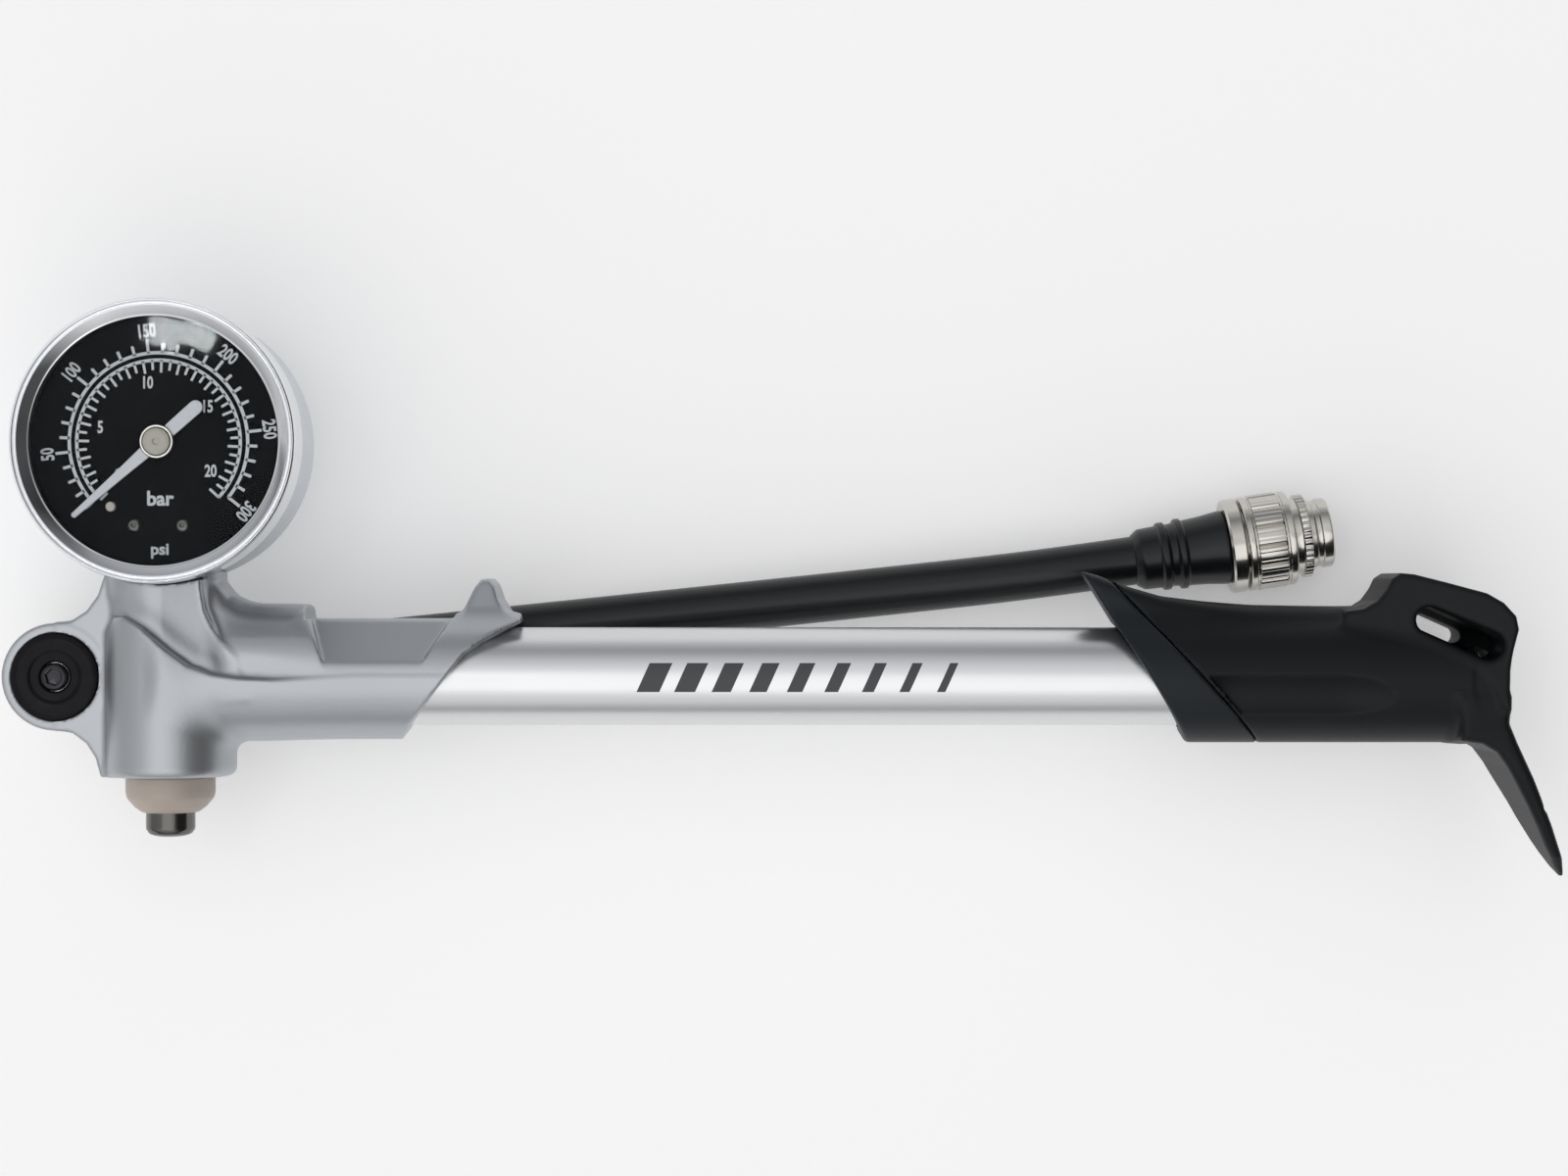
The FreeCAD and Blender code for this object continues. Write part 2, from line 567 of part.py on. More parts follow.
def make_gauge():
    """Case, stem, curved tube, dial and screws, glass and bezel, and the needle on its spindle."""
    inner = "gauge_radius - gauge_wall - 0.65"
    rim = "gauge_radius - 0.65"
    skirt = "bezel_front - bezel_skirt"
    turned("gauge_case", [
        ("0 - gauge_back", "0"), ("0 - gauge_back + 1.4", "0"), ("0 - gauge_back + 1.4", inner),
        ("lens_level - 0.05", inner), ("lens_level - 0.05", rim), (skirt + " - 0.1", rim),
        (skirt + " - 0.1", "gauge_radius"), ("0 - gauge_back + 1", "gauge_radius"),
        ("0 - gauge_back", "gauge_radius - 1")], GAUGE, FRONT_TURN)
    turned("gauge_bezel", [
        (skirt, rim + " + seat_gap"), ("lens_level + lens_thick + 0.02", rim + " + seat_gap"),
        ("lens_level + lens_thick + 0.02", "gauge_radius - 2.1"),
        ("lens_level + lens_thick + 0.3", "gauge_radius - 2.2"),
        ("bezel_front - 0.7", "gauge_radius - 0.9"), ("bezel_front - 1", "gauge_radius - 0.6"),
        ("bezel_front - 0.2", "gauge_radius - 0.4"), ("bezel_front", "bezel_radius - 0.6"),
        ("bezel_front - 0.4", "bezel_radius - 0.1"), ("bezel_front - 1", "bezel_radius"),
        (skirt, "bezel_radius")],
        GAUGE, FRONT_TURN)
    turned("gauge_lens", [
        ("lens_level", "0"), ("lens_level + lens_thick", "0"),
        ("lens_level + lens_thick", rim + " - 0.05"),
        ("lens_level", rim + " - 0.05")], GAUGE, FRONT_TURN)
    turned("gauge_dial", tube_profile("dial_level", "dial_level + dial_thick", "1.1", inner + " - 0.1"),
           GAUGE, FRONT_TURN)
    turned("movement_plate", tube_profile("dial_level - 2.4", "dial_level - 0.02",
                                          "0.6 + running_gap", "9"),
           GAUGE, FRONT_TURN)
    turned("movement_pillar", tube_profile("0 - gauge_back + 1.42", "dial_level - 2.42", "0", "2.4"),
           (UPRIGHT, "gauge_lift - 6", "0"), FRONT_TURN)
    tube = doc.addObject("Part::Torus", "bourdon_tube")
    bind(tube, Radius1="gauge_radius - 6.6", Radius2="1.7")
    tube.Angle3 = 250
    put(tube, (UPRIGHT, "gauge_lift", "0 - gauge_back + 1.4 + 1.7 + running_gap"), ((0, 0, 1), -90))
    keep(tube, "bourdon_tube")
    turned("gauge_stem", [
        ("0 - stem_depth", "1"), ("0.4", "1"), ("0.4", "4"), ("0 - 0.5", "4"), ("0 - 0.5", "stem_radius"),
        ("0 - stem_depth", "stem_radius")],
        (UPRIGHT, "gauge_lift - gauge_radius - seat_gap - 0.5", "0"), UPRIGHT_TURN)
    screws = []
    for number, side in enumerate(("0 - 3.6", "3.6")):
        head = doc.addObject("Part::Cylinder", "dial_screw_head_%d" % number)
        bind(head, Radius="1.3", Height="0.6")
        put(head, (UPRIGHT + " + (" + side + ")", "gauge_lift - 12.4", "dial_level + dial_thick + 0.01"))
        slot = block("dial_screw_slot_%d" % number,
                     (UPRIGHT + " + (" + side + ") - 2", "gauge_lift - 12.6",
                     "dial_level + dial_thick + 0.35"),
                     ("4", "0.4", "1"))
        screws.append(cut("dial_screw_%d" % number, head, slot))
    pair = doc.addObject("Part::Compound", "dial_screw_pair")
    pair.Links = screws
    keep(pair, "dial_screws")
    make_needle()


def make_needle():
    """The hand with its counterweight, pointing a little above zero, its spindle and its cap."""
    level = "dial_level + dial_thick + 1"
    plate("gauge_needle", [
        ("0 - needle_tail", "0 - 1"), ("0 - 2", "0 - 0.8"), ("0 - 1", "0 - 2"), ("1", "0 - 2"),
        ("2.2", "0 - 0.9"),
        ("needle_reach - 2", "0 - 0.45"), ("needle_reach", "0 - 0.1"), ("needle_reach", "0.1"),
        ("needle_reach - 2", "0.45"), ("2.2", "0.9"), ("1", "2"), ("0 - 1", "2"), ("0 - 2", "0.8"),
        ("0 - needle_tail", "1")], "0.35", (UPRIGHT, "gauge_lift", level), ((0, 0, 1), 221.6))
    turned("needle_spindle", [
        ("dial_level - 3", "0"), (level + " - 0.01", "0"), (level + " - 0.01", "0.6"),
        ("dial_level - 3", "0.6")],
        GAUGE, FRONT_TURN)
    turned("needle_cap", [
        (level + " + 0.36", "0"), (level + " + 1.2", "0"), (level + " + 1.2", "1.5"),
        (level + " + 0.9", "2"),
        (level + " + 0.9", "2.05"), (level + " + 0.7", "2.6"), (level + " + 0.36", "2.6")],
        GAUGE, FRONT_TURN)


# ---------------------------------------------------------------- bleed valve

BLEED_MOUTH = "0 - upright_low - bleed_bush_band - bleed_bush_cone"


def make_bleed():
    """The bush under the upright body, and the sprung pin that lets air out when it is pressed."""
    top = "bleed_thread_depth - upright_low"
    pocket_top = BLEED_MOUTH + " + bleed_pocket"
    turned("bleed_bush", [
        (top, "bleed_stem + running_gap"), (pocket_top, "bleed_stem + running_gap"),
        (pocket_top, "bleed_pin_radius + running_gap"), (BLEED_MOUTH, "bleed_pin_radius + running_gap"),
        (BLEED_MOUTH, "bleed_pin_radius + 0.6"),
        ("0 - upright_low - bleed_bush_band", "bleed_bush_radius"),
        ("0 - upright_low - 0.02", "bleed_bush_radius"),
        ("0 - upright_low - 0.02", "bleed_thread"), (top, "bleed_thread")],
        (UPRIGHT, "0", "0"), UPRIGHT_TURN)
    shoulder = BLEED_MOUTH + " + bleed_travel + 0.3"
    tip = BLEED_MOUTH + " - bleed_pin_show"
    turned("bleed_pin", [
        (tip, "0"), (tip, "bleed_pin_radius - 0.9"), (tip + " + 0.3", "bleed_pin_radius - 0.3"),
        (tip + " + 0.9", "bleed_pin_radius"), (shoulder, "bleed_pin_radius"), (shoulder, "bleed_stem"),
        (top + " + 0.1", "bleed_stem"), (top + " + 0.1", "2.1"), (top + " + 1", "2.1"),
        (top + " + 1", "0")],
        (UPRIGHT, "0", "0"), UPRIGHT_TURN)
    start = value(shoulder) + 0.05
    length = value(pocket_top) - start - 0.05
    spring("bleed_spring", value("bleed_stem") + 1.3, 0.35, length, 5,
           FreeCAD.Placement(FreeCAD.Vector(value(UPRIGHT), start, 0),
                             FreeCAD.Rotation(FreeCAD.Vector(1, 0, 0), -90)))


# ---------------------------------------------------------------- hose, pivot and coupler

# The hose's route in plan, from the pivot's axis: straight out of the banjo, then a slow rise.
ROUTE = [(9.0, 0.9), (45.5, 4.54), (91.5, 9.29), (127.5, 13.07), (149.5, 15.48), (164.5, 17.70)]


def hose_points():
    """The route in the part's frame."""
    eye = value(EYE)
    level = -value("hose_level")
    return [FreeCAD.Vector(eye + across, up, level) for across, up in ROUTE]


def heading(start, end):
    """The angle of a run in plan, in degrees from X."""
    return math.degrees(math.atan2(end.y - start.y, end.x - start.x))


def hose_path(points):
    """Straight runs joined by tangent arcs, each as large as its two runs allow."""
    edges = []
    spot = points[0]
    for before, corner, after in zip(points, points[1:], points[2:]):
        come = (corner - before).normalize()
        go = (after - corner).normalize()
        half = come.getAngle(go) / 2
        setback = 0.45 * min(corner.distanceToPoint(before), after.distanceToPoint(corner))
        radius = setback / math.tan(half)
        print("hose bend radius %.0f mm" % radius)
        start = corner - come * setback
        end = corner + go * setback
        inward = (go - come).normalize()
        middle = corner + inward * (radius / math.cos(half) - radius)
        edges.append(Part.makeLine(spot, start))
        edges.append(Part.Arc(start, middle, end).toShape())
        spot = end
    edges.append(Part.makeLine(spot, points[-1]))
    return Part.Wire(edges)


def make_hose():
    """The rubber hose as one plain tube, checked against its section times its length."""
    points = hose_points()
    path = hose_path(points)
    radius = value("hose_radius")
    circle = Part.makeCircle(radius, points[0], points[1] - points[0])
    tube = path.makePipeShell([Part.Wire([circle])], True, True)
    volume_ratio = tube.Volume / (math.pi * radius ** 2 * path.Length)
    print("hose length %.1f mm, volume ratio %.5f" % (path.Length, volume_ratio))
    item = doc.addObject("Part::Feature", "hose")
    item.Shape = tube
    keep(item, "hose")


def make_pivot():
    """The hollow bolt through the eye, the banjo that turns on it, its washers and the front disc."""
    middle = "0 - hose_level"
    under = "0 - hose_level - banjo_half"
    banjo_lean = math.degrees(math.atan2(ROUTE[0][1], ROUTE[0][0]))
    ring_part = rod("banjo_ring", "banjo_radius", "banjo_half * 2", (EYE, "0", under))
    stub_reach = math.hypot(*ROUTE[0])
    stub = doc.addObject("Part::Cylinder", "banjo_stub")
    bind(stub, Radius="hose_radius + 0.35", Height="%.6f" % stub_reach)
    lean = math.radians(banjo_lean)
    put(stub, (EYE, "0", middle), ((-math.sin(lean), math.cos(lean), 0), 90))
    run = hose_points()
    lean_gap = heading(run[0], run[1]) - banjo_lean
    print("banjo stub leans %.3f degrees, hose leaves %.3f degrees further" % (banjo_lean, lean_gap))
    mass = join("banjo_mass", [ring_part, stub])
    bore = rod("banjo_bore", "bolt_radius + running_gap", "banjo_half * 2 + 2",
               (EYE, "0", under + " - 1"))
    keep(cut("banjo_cut", mass, bore), "banjo_fitting")
    gap = "(hose_level - banjo_half - eye_back)"
    turned("front_washer", tube_profile("0 - eye_back - " + gap + " + 0.15", "0 - eye_back - 0.02",
                                        "bolt_radius + seat_gap", "bolt_radius + 2.2"),
           (EYE, "0", "0"), FRONT_TURN)
    turned("back_washer", tube_profile(under + " - 0.55", under + " - 0.15",
                                       "bolt_radius + seat_gap", "bolt_radius + 2.2"),
           (EYE, "0", "0"), FRONT_TURN)
    top = "eye_front - 1.1"
    turned("banjo_bolt", [
        (under + " - 2.9", "0"), (top, "0"), (top, "bolt_radius"), (under + " - 0.57", "bolt_radius"),
        (under + " - 0.57", "bolt_head"), (under + " - 2.4", "bolt_head"),
        (under + " - 2.9", "bolt_head - 0.6")],
        (EYE, "0", "0"), FRONT_TURN)
    turned("eye_disc", [
        ("eye_front - 0.98", "2.2"), ("eye_front + 0.1", "2.2"), ("eye_front + 0.3", "2.6"),
        ("eye_front + 0.3", "eye_radius - 2"), ("eye_front", "eye_radius - 1.5"),
        ("eye_front - 0.98", "eye_radius - 1.5")], (EYE, "0", "0"), FRONT_TURN)
    turned("pivot_screw", [
        (top + " + 0.02", "0"), ("eye_front + 0.1", "0"), ("eye_front + 0.1", "1"),
        ("eye_front + 0.9", "1"),
        ("eye_front + 0.9", "1.7"), ("eye_front + 0.5", "2.1"), (top + " + 0.02", "2.1")],
        (EYE, "0", "0"), FRONT_TURN)


def make_coupler():
    """The boot, the swivel stem, the knurled nut with its nose, the gasket and the valve pin."""
    points = hose_points()
    end = points[-1]
    lean = heading(points[-2], end)
    at = (EYE + " + %.6f" % ROUTE[-1][0], "%.6f" % ROUTE[-1][1], "0 - hose_level")
    turn = ((0, 0, 1), lean)
    mouth = "boot_length"
    turned("hose_boot", [
        ("0", "0"), ("4", "0"), ("4", "2.6 + seat_gap"), (mouth, "2.6 + seat_gap"), (mouth, "boot_end"),
        ("7.4", "5.1"), ("7.2", "5.45"), ("6.4", "5.45"), ("6.2", "4.95"), ("4.8", "4.9"),
        ("4.6", "5.25"),
        ("3.8", "5.25"), ("3.6", "4.8"), ("0.6", "4.75"), ("0", "4.3")], at, turn)
    flange = mouth + " + 0.02"
    neck = mouth + " + flange_width"
    front = neck + " + swivel_length"
    turned("coupler_body", [
        ("4.02", "0.65"), (front, "0.65"), (front, "swivel_radius"), (neck, "swivel_radius"),
        (neck, "flange_radius - 0.3"), (neck + " - 0.3", "flange_radius"),
        (flange + " + 0.3", "flange_radius"),
        (flange, "flange_radius - 0.3"), (flange, "2.6"), ("4.02", "2.6")], at, turn)
    turned("coupler_gasket", tube_profile(front + " + 0.02", front + " + 1.4", "1.3", "3.6"), at, turn)
    turned("valve_pin", [
        (neck, "0"), (front + " + 2", "0"), (front + " + 2", "0.4"), (front + " + 1.8", "0.6"),
        (neck, "0.6")], at, turn)
    nut = neck + " + 0.3"
    nut_end = nut + " + nut_length"
    tip = nut_end + " + nose_length"
    turned("coupler_nut", [
        (nut, "swivel_radius + running_gap"), (front + " + 0.2", "swivel_radius + running_gap"),
        (front + " + 0.2", "valve_radius + 0.4"), (tip + " - valve_depth", "valve_radius + 0.4"),
        (tip + " - valve_depth", "valve_radius"), (tip, "valve_radius"), (tip, "nose_radius - 0.4"),
        (tip + " - 0.4", "nose_radius"), (tip + " - 2.2", "nose_radius"),
        (tip + " - 2.4", "nose_radius - 0.25"),
        (tip + " - 3", "nose_radius - 0.25"), (tip + " - 3.2", "nose_radius"),
        (nut_end + " + 1.4", "nose_radius"),
        (nut_end + " + 1.4", "nut_radius - 0.9"), (nut_end + " + 0.5", "nut_radius - 0.9"),
        (nut_end + " + 0.4", "nut_radius - 1.4"), (nut_end, "nut_radius - 1.4"),
        (nut_end, "nut_radius - 0.5"),
        (nut_end + " - 0.5", "nut_radius"), (nut + " + 0.5", "nut_radius"),
        (nut, "nut_radius - 0.5")], at, turn)


def check_and_write():
    """Refuse a failed object or a broken shape, then write one file for each sub-part."""
    doc.recompute()
    for item in doc.Objects:
        if "Invalid" in item.State or "Error" in item.State:
            raise RuntimeError(item.Name + " failed: " + str(item.State))
    labels = [item.Label for item in NODES]
    if len(set(labels)) != len(labels):
        raise RuntimeError("two sub-parts share a label")
    for item in NODES:
        if item.Shape.isNull() or not item.Shape.isValid() or item.Shape.Volume < TINY:
            raise RuntimeError(item.Label + " has no sound shape")
    os.makedirs("parts", exist_ok=True)
    for item in NODES:
        item.Shape.exportStep("parts/" + item.Label + ".step")
        print("%-18s %2d solids %10.2f mm3" % (item.Label, len(item.Shape.Solids), item.Shape.Volume))


make_head()
make_barrel()
make_plunger()
make_grip()
make_gauge()
make_bleed()
make_hose()
make_pivot()
make_coupler()
check_and_write()
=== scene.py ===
"""Looks for a hand air pump with a gauge, a swinging hose and a sliding grip."""

import json
import math

import bmesh
import bpy
import numpy as np
from mathutils import Matrix, Vector


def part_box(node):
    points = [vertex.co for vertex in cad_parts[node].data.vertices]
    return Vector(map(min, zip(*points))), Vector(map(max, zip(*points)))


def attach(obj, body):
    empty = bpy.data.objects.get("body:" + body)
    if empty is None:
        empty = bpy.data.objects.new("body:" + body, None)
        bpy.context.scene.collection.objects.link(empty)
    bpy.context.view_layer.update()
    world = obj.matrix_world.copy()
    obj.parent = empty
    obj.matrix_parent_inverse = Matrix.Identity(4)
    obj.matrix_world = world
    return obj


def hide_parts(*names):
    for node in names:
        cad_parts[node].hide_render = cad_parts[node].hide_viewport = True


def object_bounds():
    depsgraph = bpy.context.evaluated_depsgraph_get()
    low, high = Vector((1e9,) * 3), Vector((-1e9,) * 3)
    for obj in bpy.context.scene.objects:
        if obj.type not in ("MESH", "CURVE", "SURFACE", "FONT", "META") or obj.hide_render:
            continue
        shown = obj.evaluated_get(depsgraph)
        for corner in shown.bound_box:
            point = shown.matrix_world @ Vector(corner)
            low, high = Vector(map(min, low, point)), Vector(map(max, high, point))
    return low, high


bl_info = {
    "name": "Hand air pump",
    "version": (1, 0, 0),
    "blender": (4, 5, 0),
    "location": "3D View > Sidebar > Pump",
    "description": "Builds the castings, grip, gauge, hose and finishes of a hand air pump round its CAD frame",
    "category": "Object",
}

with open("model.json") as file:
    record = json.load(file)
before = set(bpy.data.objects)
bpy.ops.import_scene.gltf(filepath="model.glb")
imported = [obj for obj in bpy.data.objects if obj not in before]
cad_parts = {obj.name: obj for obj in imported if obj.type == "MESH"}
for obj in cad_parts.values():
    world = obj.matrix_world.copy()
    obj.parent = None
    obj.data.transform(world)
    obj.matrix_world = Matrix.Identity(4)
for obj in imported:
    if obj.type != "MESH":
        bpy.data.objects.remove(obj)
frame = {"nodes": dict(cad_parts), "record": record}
CAD_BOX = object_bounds()

MM = 0.001


def spot(node):
    """The middle of a CAD node, in millimetres."""
    low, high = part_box(node)
    return (low + high) / 2 / MM


def span(node):
    """The size of a CAD node, in millimetres."""
    low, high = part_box(node)
    return (high - low) / MM


def corner(node, end):
    """The low (0) or high (1) corner of a CAD node, in millimetres."""
    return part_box(node)[end] / MM


EYE = spot("eye_disc")
GAUGE = spot("gauge_dial")
BARREL_RADIUS = span("barrel_tube").y / 2
CASE_RADIUS = span("gauge_case").x / 2
BEZEL_RADIUS = span("gauge_bezel").x / 2
SLEEVE_TIP = corner("head_body", 1).x
GRIP_FRONT = corner("grip_collar", 0).x
GRIP_RADIUS = span("grip_body").z / 2
PALM_START = corner("grip_body", 1).x
HOSE_LEVEL = spot("hose").z
DIAL_TOP = corner("gauge_dial", 1).z

# Lines that turned pieces stand on: a point, in millimetres, and a direction.
UP = (0, 0, 1)
GAUGE_LINE = ((GAUGE.x, GAUGE.y, 0), UP)


# ------------------------------------------------------------------ sizes a user would change

def length(name, note, amount):
    """A size in millimetres, kept as metres so that the panel shows units."""
    return bpy.props.FloatProperty(name=name, description=note, default=amount * MM, min=0.0, unit="LENGTH")


def tint(name, note, colour):
    """A colour with a picker."""
    return bpy.props.FloatVectorProperty(name=name, description=note, default=colour, size=3, subtype="COLOR",
                                         min=0.0, max=1.0)


class PumpShapes(bpy.types.PropertyGroup):
    """Sizes of the shapes that are modelled here."""
    grain: length("Skin step", "Size of the faces that cover a moulded or cast shape", 0.36)
    cast_edge: length("Casting edge", "Rounding of the casting's ridge", 0.6)
    cast_blend: length("Casting blend", "Fillet where the upright body meets the sleeve", 2.4)
    grip_edge: length("Grip edge", "Rounding of the grip's outer edges", 0.8)
    knurl_depth: length("Knurl depth", "Depth of the grooves round the coupler's nut", 0.45)
    knurl_count: bpy.props.IntProperty(name="Knurl count", description="Grooves round the coupler's nut",
                                       default=14, min=8, max=80)
    print_height: length("Print height", "How far the dial's print stands above the dial", 0.03)


class PumpColours(bpy.types.PropertyGroup):
    """Base colours of the finishes."""
    silver: tint("Cast silver", "Paint on the head casting", (0.462, 0.480, 0.502))
    aluminium: tint("Barrel", "Bright drawn tube", (0.735, 0.74, 0.75))
    plastic: tint("Grip", "Black moulded grip", (0.0042, 0.0054, 0.0066))
    rubber: tint("Hose", "Black hose and boot", (0.0045, 0.0060, 0.0072))
    nickel: tint("Nickel", "Plated coupler parts", (0.58, 0.56, 0.52))
    chrome: tint("Chrome", "Bezel ring", (0.80, 0.81, 0.83))
    nylon: tint("Bush", "Beige bush of the bleed valve", (0.50, 0.43, 0.375))
    ink: tint("Dial print", "Figures and marks on the dial", (0.78, 0.79, 0.80))


def shapes():
    """The sizes now set, on the scene."""
    return bpy.context.scene.pump_shapes


def colours():
    """The colours now set, on the scene."""
    return bpy.context.scene.pump_colours


def mm(metres):
    """A set size, back in millimetres."""
    return metres / MM


# ------------------------------------------------------------------ shader expressions

class Wire:
    """One output socket, so that shader maths reads as plain expressions."""

    def __init__(self, paint, socket):
        self.paint = paint
        self.socket = socket

    def maths(self, operation, *values):
        """A Math node on these values."""
        return self.paint.add("ShaderNodeMath", {"operation": operation}, dict(enumerate(values)))

    def __add__(self, other):
        return self.maths("ADD", self, other)

    def __radd__(self, other):
        return self.maths("ADD", other, self)

    def __sub__(self, other):
        return self.maths("SUBTRACT", self, other)

    def __rsub__(self, other):
        return self.maths("SUBTRACT", other, self)

    def __mul__(self, other):
        return self.maths("MULTIPLY", self, other)

    def __rmul__(self, other):
        return self.maths("MULTIPLY", other, self)

    def clipped(self):
        """The value kept between 0 and 1."""
        return self.paint.add("ShaderNodeClamp", {}, {"Value": self})


# The Mix node has a set of sockets for each type of value; these are the ones for colours.
MIX_FACTOR, MIX_FIRST, MIX_SECOND, MIX_COLOUR = 0, 6, 7, 2


class Paint:
    """The nodes of a material or of the world."""

    def __init__(self, owner):
        owner.use_nodes = True
        self.owner = owner
        self.tree = owner.node_tree
        self.tree.nodes.clear()

    def add(self, kind, settings, sockets, output=0):
        """Any node: its settings first, then the values or links of its sockets; returns one output."""
        node = self.tree.nodes.new(kind)
        for name, value in settings.items():
            if name == "stops":
                self.set_stops(node.color_ramp, value)
            else:
                setattr(node, name, value)
        for name, value in sockets.items():
            if isinstance(value, Wire):
                self.tree.links.new(value.socket, node.inputs[name])
            else:
                node.inputs[name].default_value = value
        return Wire(self, node.outputs[output]) if node.outputs else node

    @staticmethod
    def set_stops(ramp, stops):
        """The ramp's colours at their places."""
        while len(ramp.elements) < len(stops):
            ramp.elements.new(0.5)
        for element, (place, colour) in zip(ramp.elements, stops):
            element.position = place
            element.color = (*colour, 1.0)

    def place(self):
        """Where on the piece a point is, in metres."""
        return self.add("ShaderNodeTexCoord", {}, {}, "Object")

    def stretched(self, scale):
        """The place, with each axis multiplied."""
        return self.add("ShaderNodeVectorMath", {"operation": "MULTIPLY"}, {0: self.place(), 1: scale})

    def noise(self, scale, detail=3.0, rough=0.5, at=None):
        """Soft noise from 0 to 1; scale is in features per metre."""
        sockets = {"Vector": at or self.place(), "Scale": scale, "Detail": detail, "Roughness": rough}
        return self.add("ShaderNodeTexNoise", {}, sockets, "Fac")

    def mix(self, factor, first, second):
        """Two colours mixed by a factor."""
        sockets = {MIX_FACTOR: factor, MIX_FIRST: (*first, 1.0), MIX_SECOND: (*second, 1.0)}
        return self.add("ShaderNodeMix", {"data_type": "RGBA"}, sockets, MIX_COLOUR)

    def bump(self, height, strength, distance):
        """A normal roughened by a height."""
        return self.add("ShaderNodeBump", {}, {"Height": height, "Strength": strength, "Distance": distance})

    def finish(self, sockets):
        """The surface shader and the material's output."""
        shader = self.add("ShaderNodeBsdfPrincipled", {}, sockets)
        self.add("ShaderNodeOutputMaterial", {}, {"Surface": shader})
        return self.owner


def new_paint(name):
    """The nodes of a new material."""
    return Paint(bpy.data.materials.new(name))


def scaled(colour, factor):
    """A colour made lighter or darker."""
    return tuple(min(1.0, part * factor) for part in colour)


def cast_silver():
    """Satin silver paint over a fine casting grain."""
    paint = new_paint("cast_silver")
    flake = paint.noise(5200, 2.0)
    cloud = paint.noise(70, 3.0)
    grain = paint.noise(1500, 3.0, 0.6)
    base = tuple(colours().silver)
    tone = paint.mix(flake * 0.55 + cloud * 0.45, scaled(base, 0.90), scaled(base, 1.10))
    return paint.finish({"Base Color": tone, "Metallic": 0.88, "Roughness": 0.34 + 0.12 * flake,
                         "Normal": paint.bump(grain, 0.16, 0.00012)})


def drawn_aluminium():
    """A bright tube with fine lines along its length."""
    paint = new_paint("drawn_aluminium")
    lines = paint.noise(1.0, 4.0, 0.6, paint.stretched((14.0, 5200.0, 5200.0)))
    blur = paint.noise(120, 2.0)
    base = tuple(colours().aluminium)
    tone = paint.mix(lines, scaled(base, 0.95), scaled(base, 1.02))
    return paint.finish({"Base Color": tone, "Metallic": 1.0, "Roughness": 0.24 + 0.10 * lines + 0.05 * blur,
                         "Normal": paint.bump(lines, 0.12, 0.00004)})


def moulded_black(name, lightness):
    """Black plastic with a fine spark-eroded texture."""
    paint = new_paint(name)
    pits = paint.noise(3800, 3.0, 0.6)
    cloud = paint.noise(60, 2.0)
    base = scaled(tuple(colours().plastic), lightness)
    tone = paint.mix(cloud, scaled(base, 0.85), scaled(base, 1.35))
    return paint.finish({"Base Color": tone, "Roughness": 0.40 + 0.14 * pits, "Specular IOR Level": 0.22,
                         "Normal": paint.bump(pits, 0.22, 0.00007)})


def extruded_rubber():
    """Smooth black rubber with faint lines from the die."""
    paint = new_paint("extruded_rubber")
    lines = paint.noise(1.0, 3.0, 0.5, paint.stretched((30.0, 1600.0, 1600.0)))
    dust = paint.noise(900, 3.0)
    base = tuple(colours().rubber)
    tone = paint.mix(dust, scaled(base, 0.8), scaled(base, 1.5))
    return paint.finish({"Base Color": tone, "Roughness": 0.26 + 0.12 * dust, "Specular IOR Level": 0.40,
                         "Normal": paint.bump(lines, 0.08, 0.00006)})


def soft_seal():
    """Matt black rubber for washers and rings."""
    paint = new_paint("soft_seal")
    dust = paint.noise(1400, 3.0)
    tone = paint.mix(dust, (0.012, 0.012, 0.012), (0.035, 0.034, 0.033))
    return paint.finish({"Base Color": tone, "Roughness": 0.55 + 0.2 * dust})


def plated(name, colour, roughness, stain):
    """Bright plating with a few cloudy patches."""
    paint = new_paint(name)
    cloud = paint.noise(260, 4.0, 0.6)
    fine = paint.noise(4200, 2.0)
    tone = paint.mix(cloud, scaled(colour, 1.0 - stain), scaled(colour, 1.0 + stain))
    return paint.finish({"Base Color": tone, "Metallic": 1.0,
                         "Roughness": roughness + 0.08 * cloud + 0.03 * fine,
                         "Normal": paint.bump(fine, 0.04, 0.00003)})


def turned_metal(name, colour, roughness):
    """Metal with the fine rings that a lathe leaves."""
    paint = new_paint(name)
    rings = paint.noise(1.0, 3.0, 0.5, paint.stretched((4200.0, 4200.0, 4200.0)))
    cloud = paint.noise(180, 3.0)
    tone = paint.mix(cloud, scaled(colour, 0.82), scaled(colour, 1.12))
    return paint.finish({"Base Color": tone, "Metallic": 1.0, "Roughness": roughness + 0.12 * rings,
                         "Normal": paint.bump(rings, 0.06, 0.00003)})


def machined_nylon(name, colour):
    """Waxy plastic with a faint cloud in it."""
    paint = new_paint(name)
    cloud = paint.noise(240, 3.0)
    grain = paint.noise(2600, 3.0)
    tone = paint.mix(cloud, scaled(colour, 0.90), scaled(colour, 1.08))
    return paint.finish({"Base Color": tone, "Roughness": 0.38 + 0.15 * grain,
                         "Normal": paint.bump(grain, 0.12, 0.00005)})


def gloss_black():
    """Glossy black moulding."""
    paint = new_paint("gloss_black")
    cloud = paint.noise(500, 3.0)
    tone = paint.mix(cloud, (0.005, 0.005, 0.006), (0.014, 0.014, 0.017))
    return paint.finish({"Base Color": tone, "Roughness": 0.14 + 0.12 * cloud, "Specular IOR Level": 0.10,
                         "Normal": paint.bump(cloud, 0.05, 0.00005)})


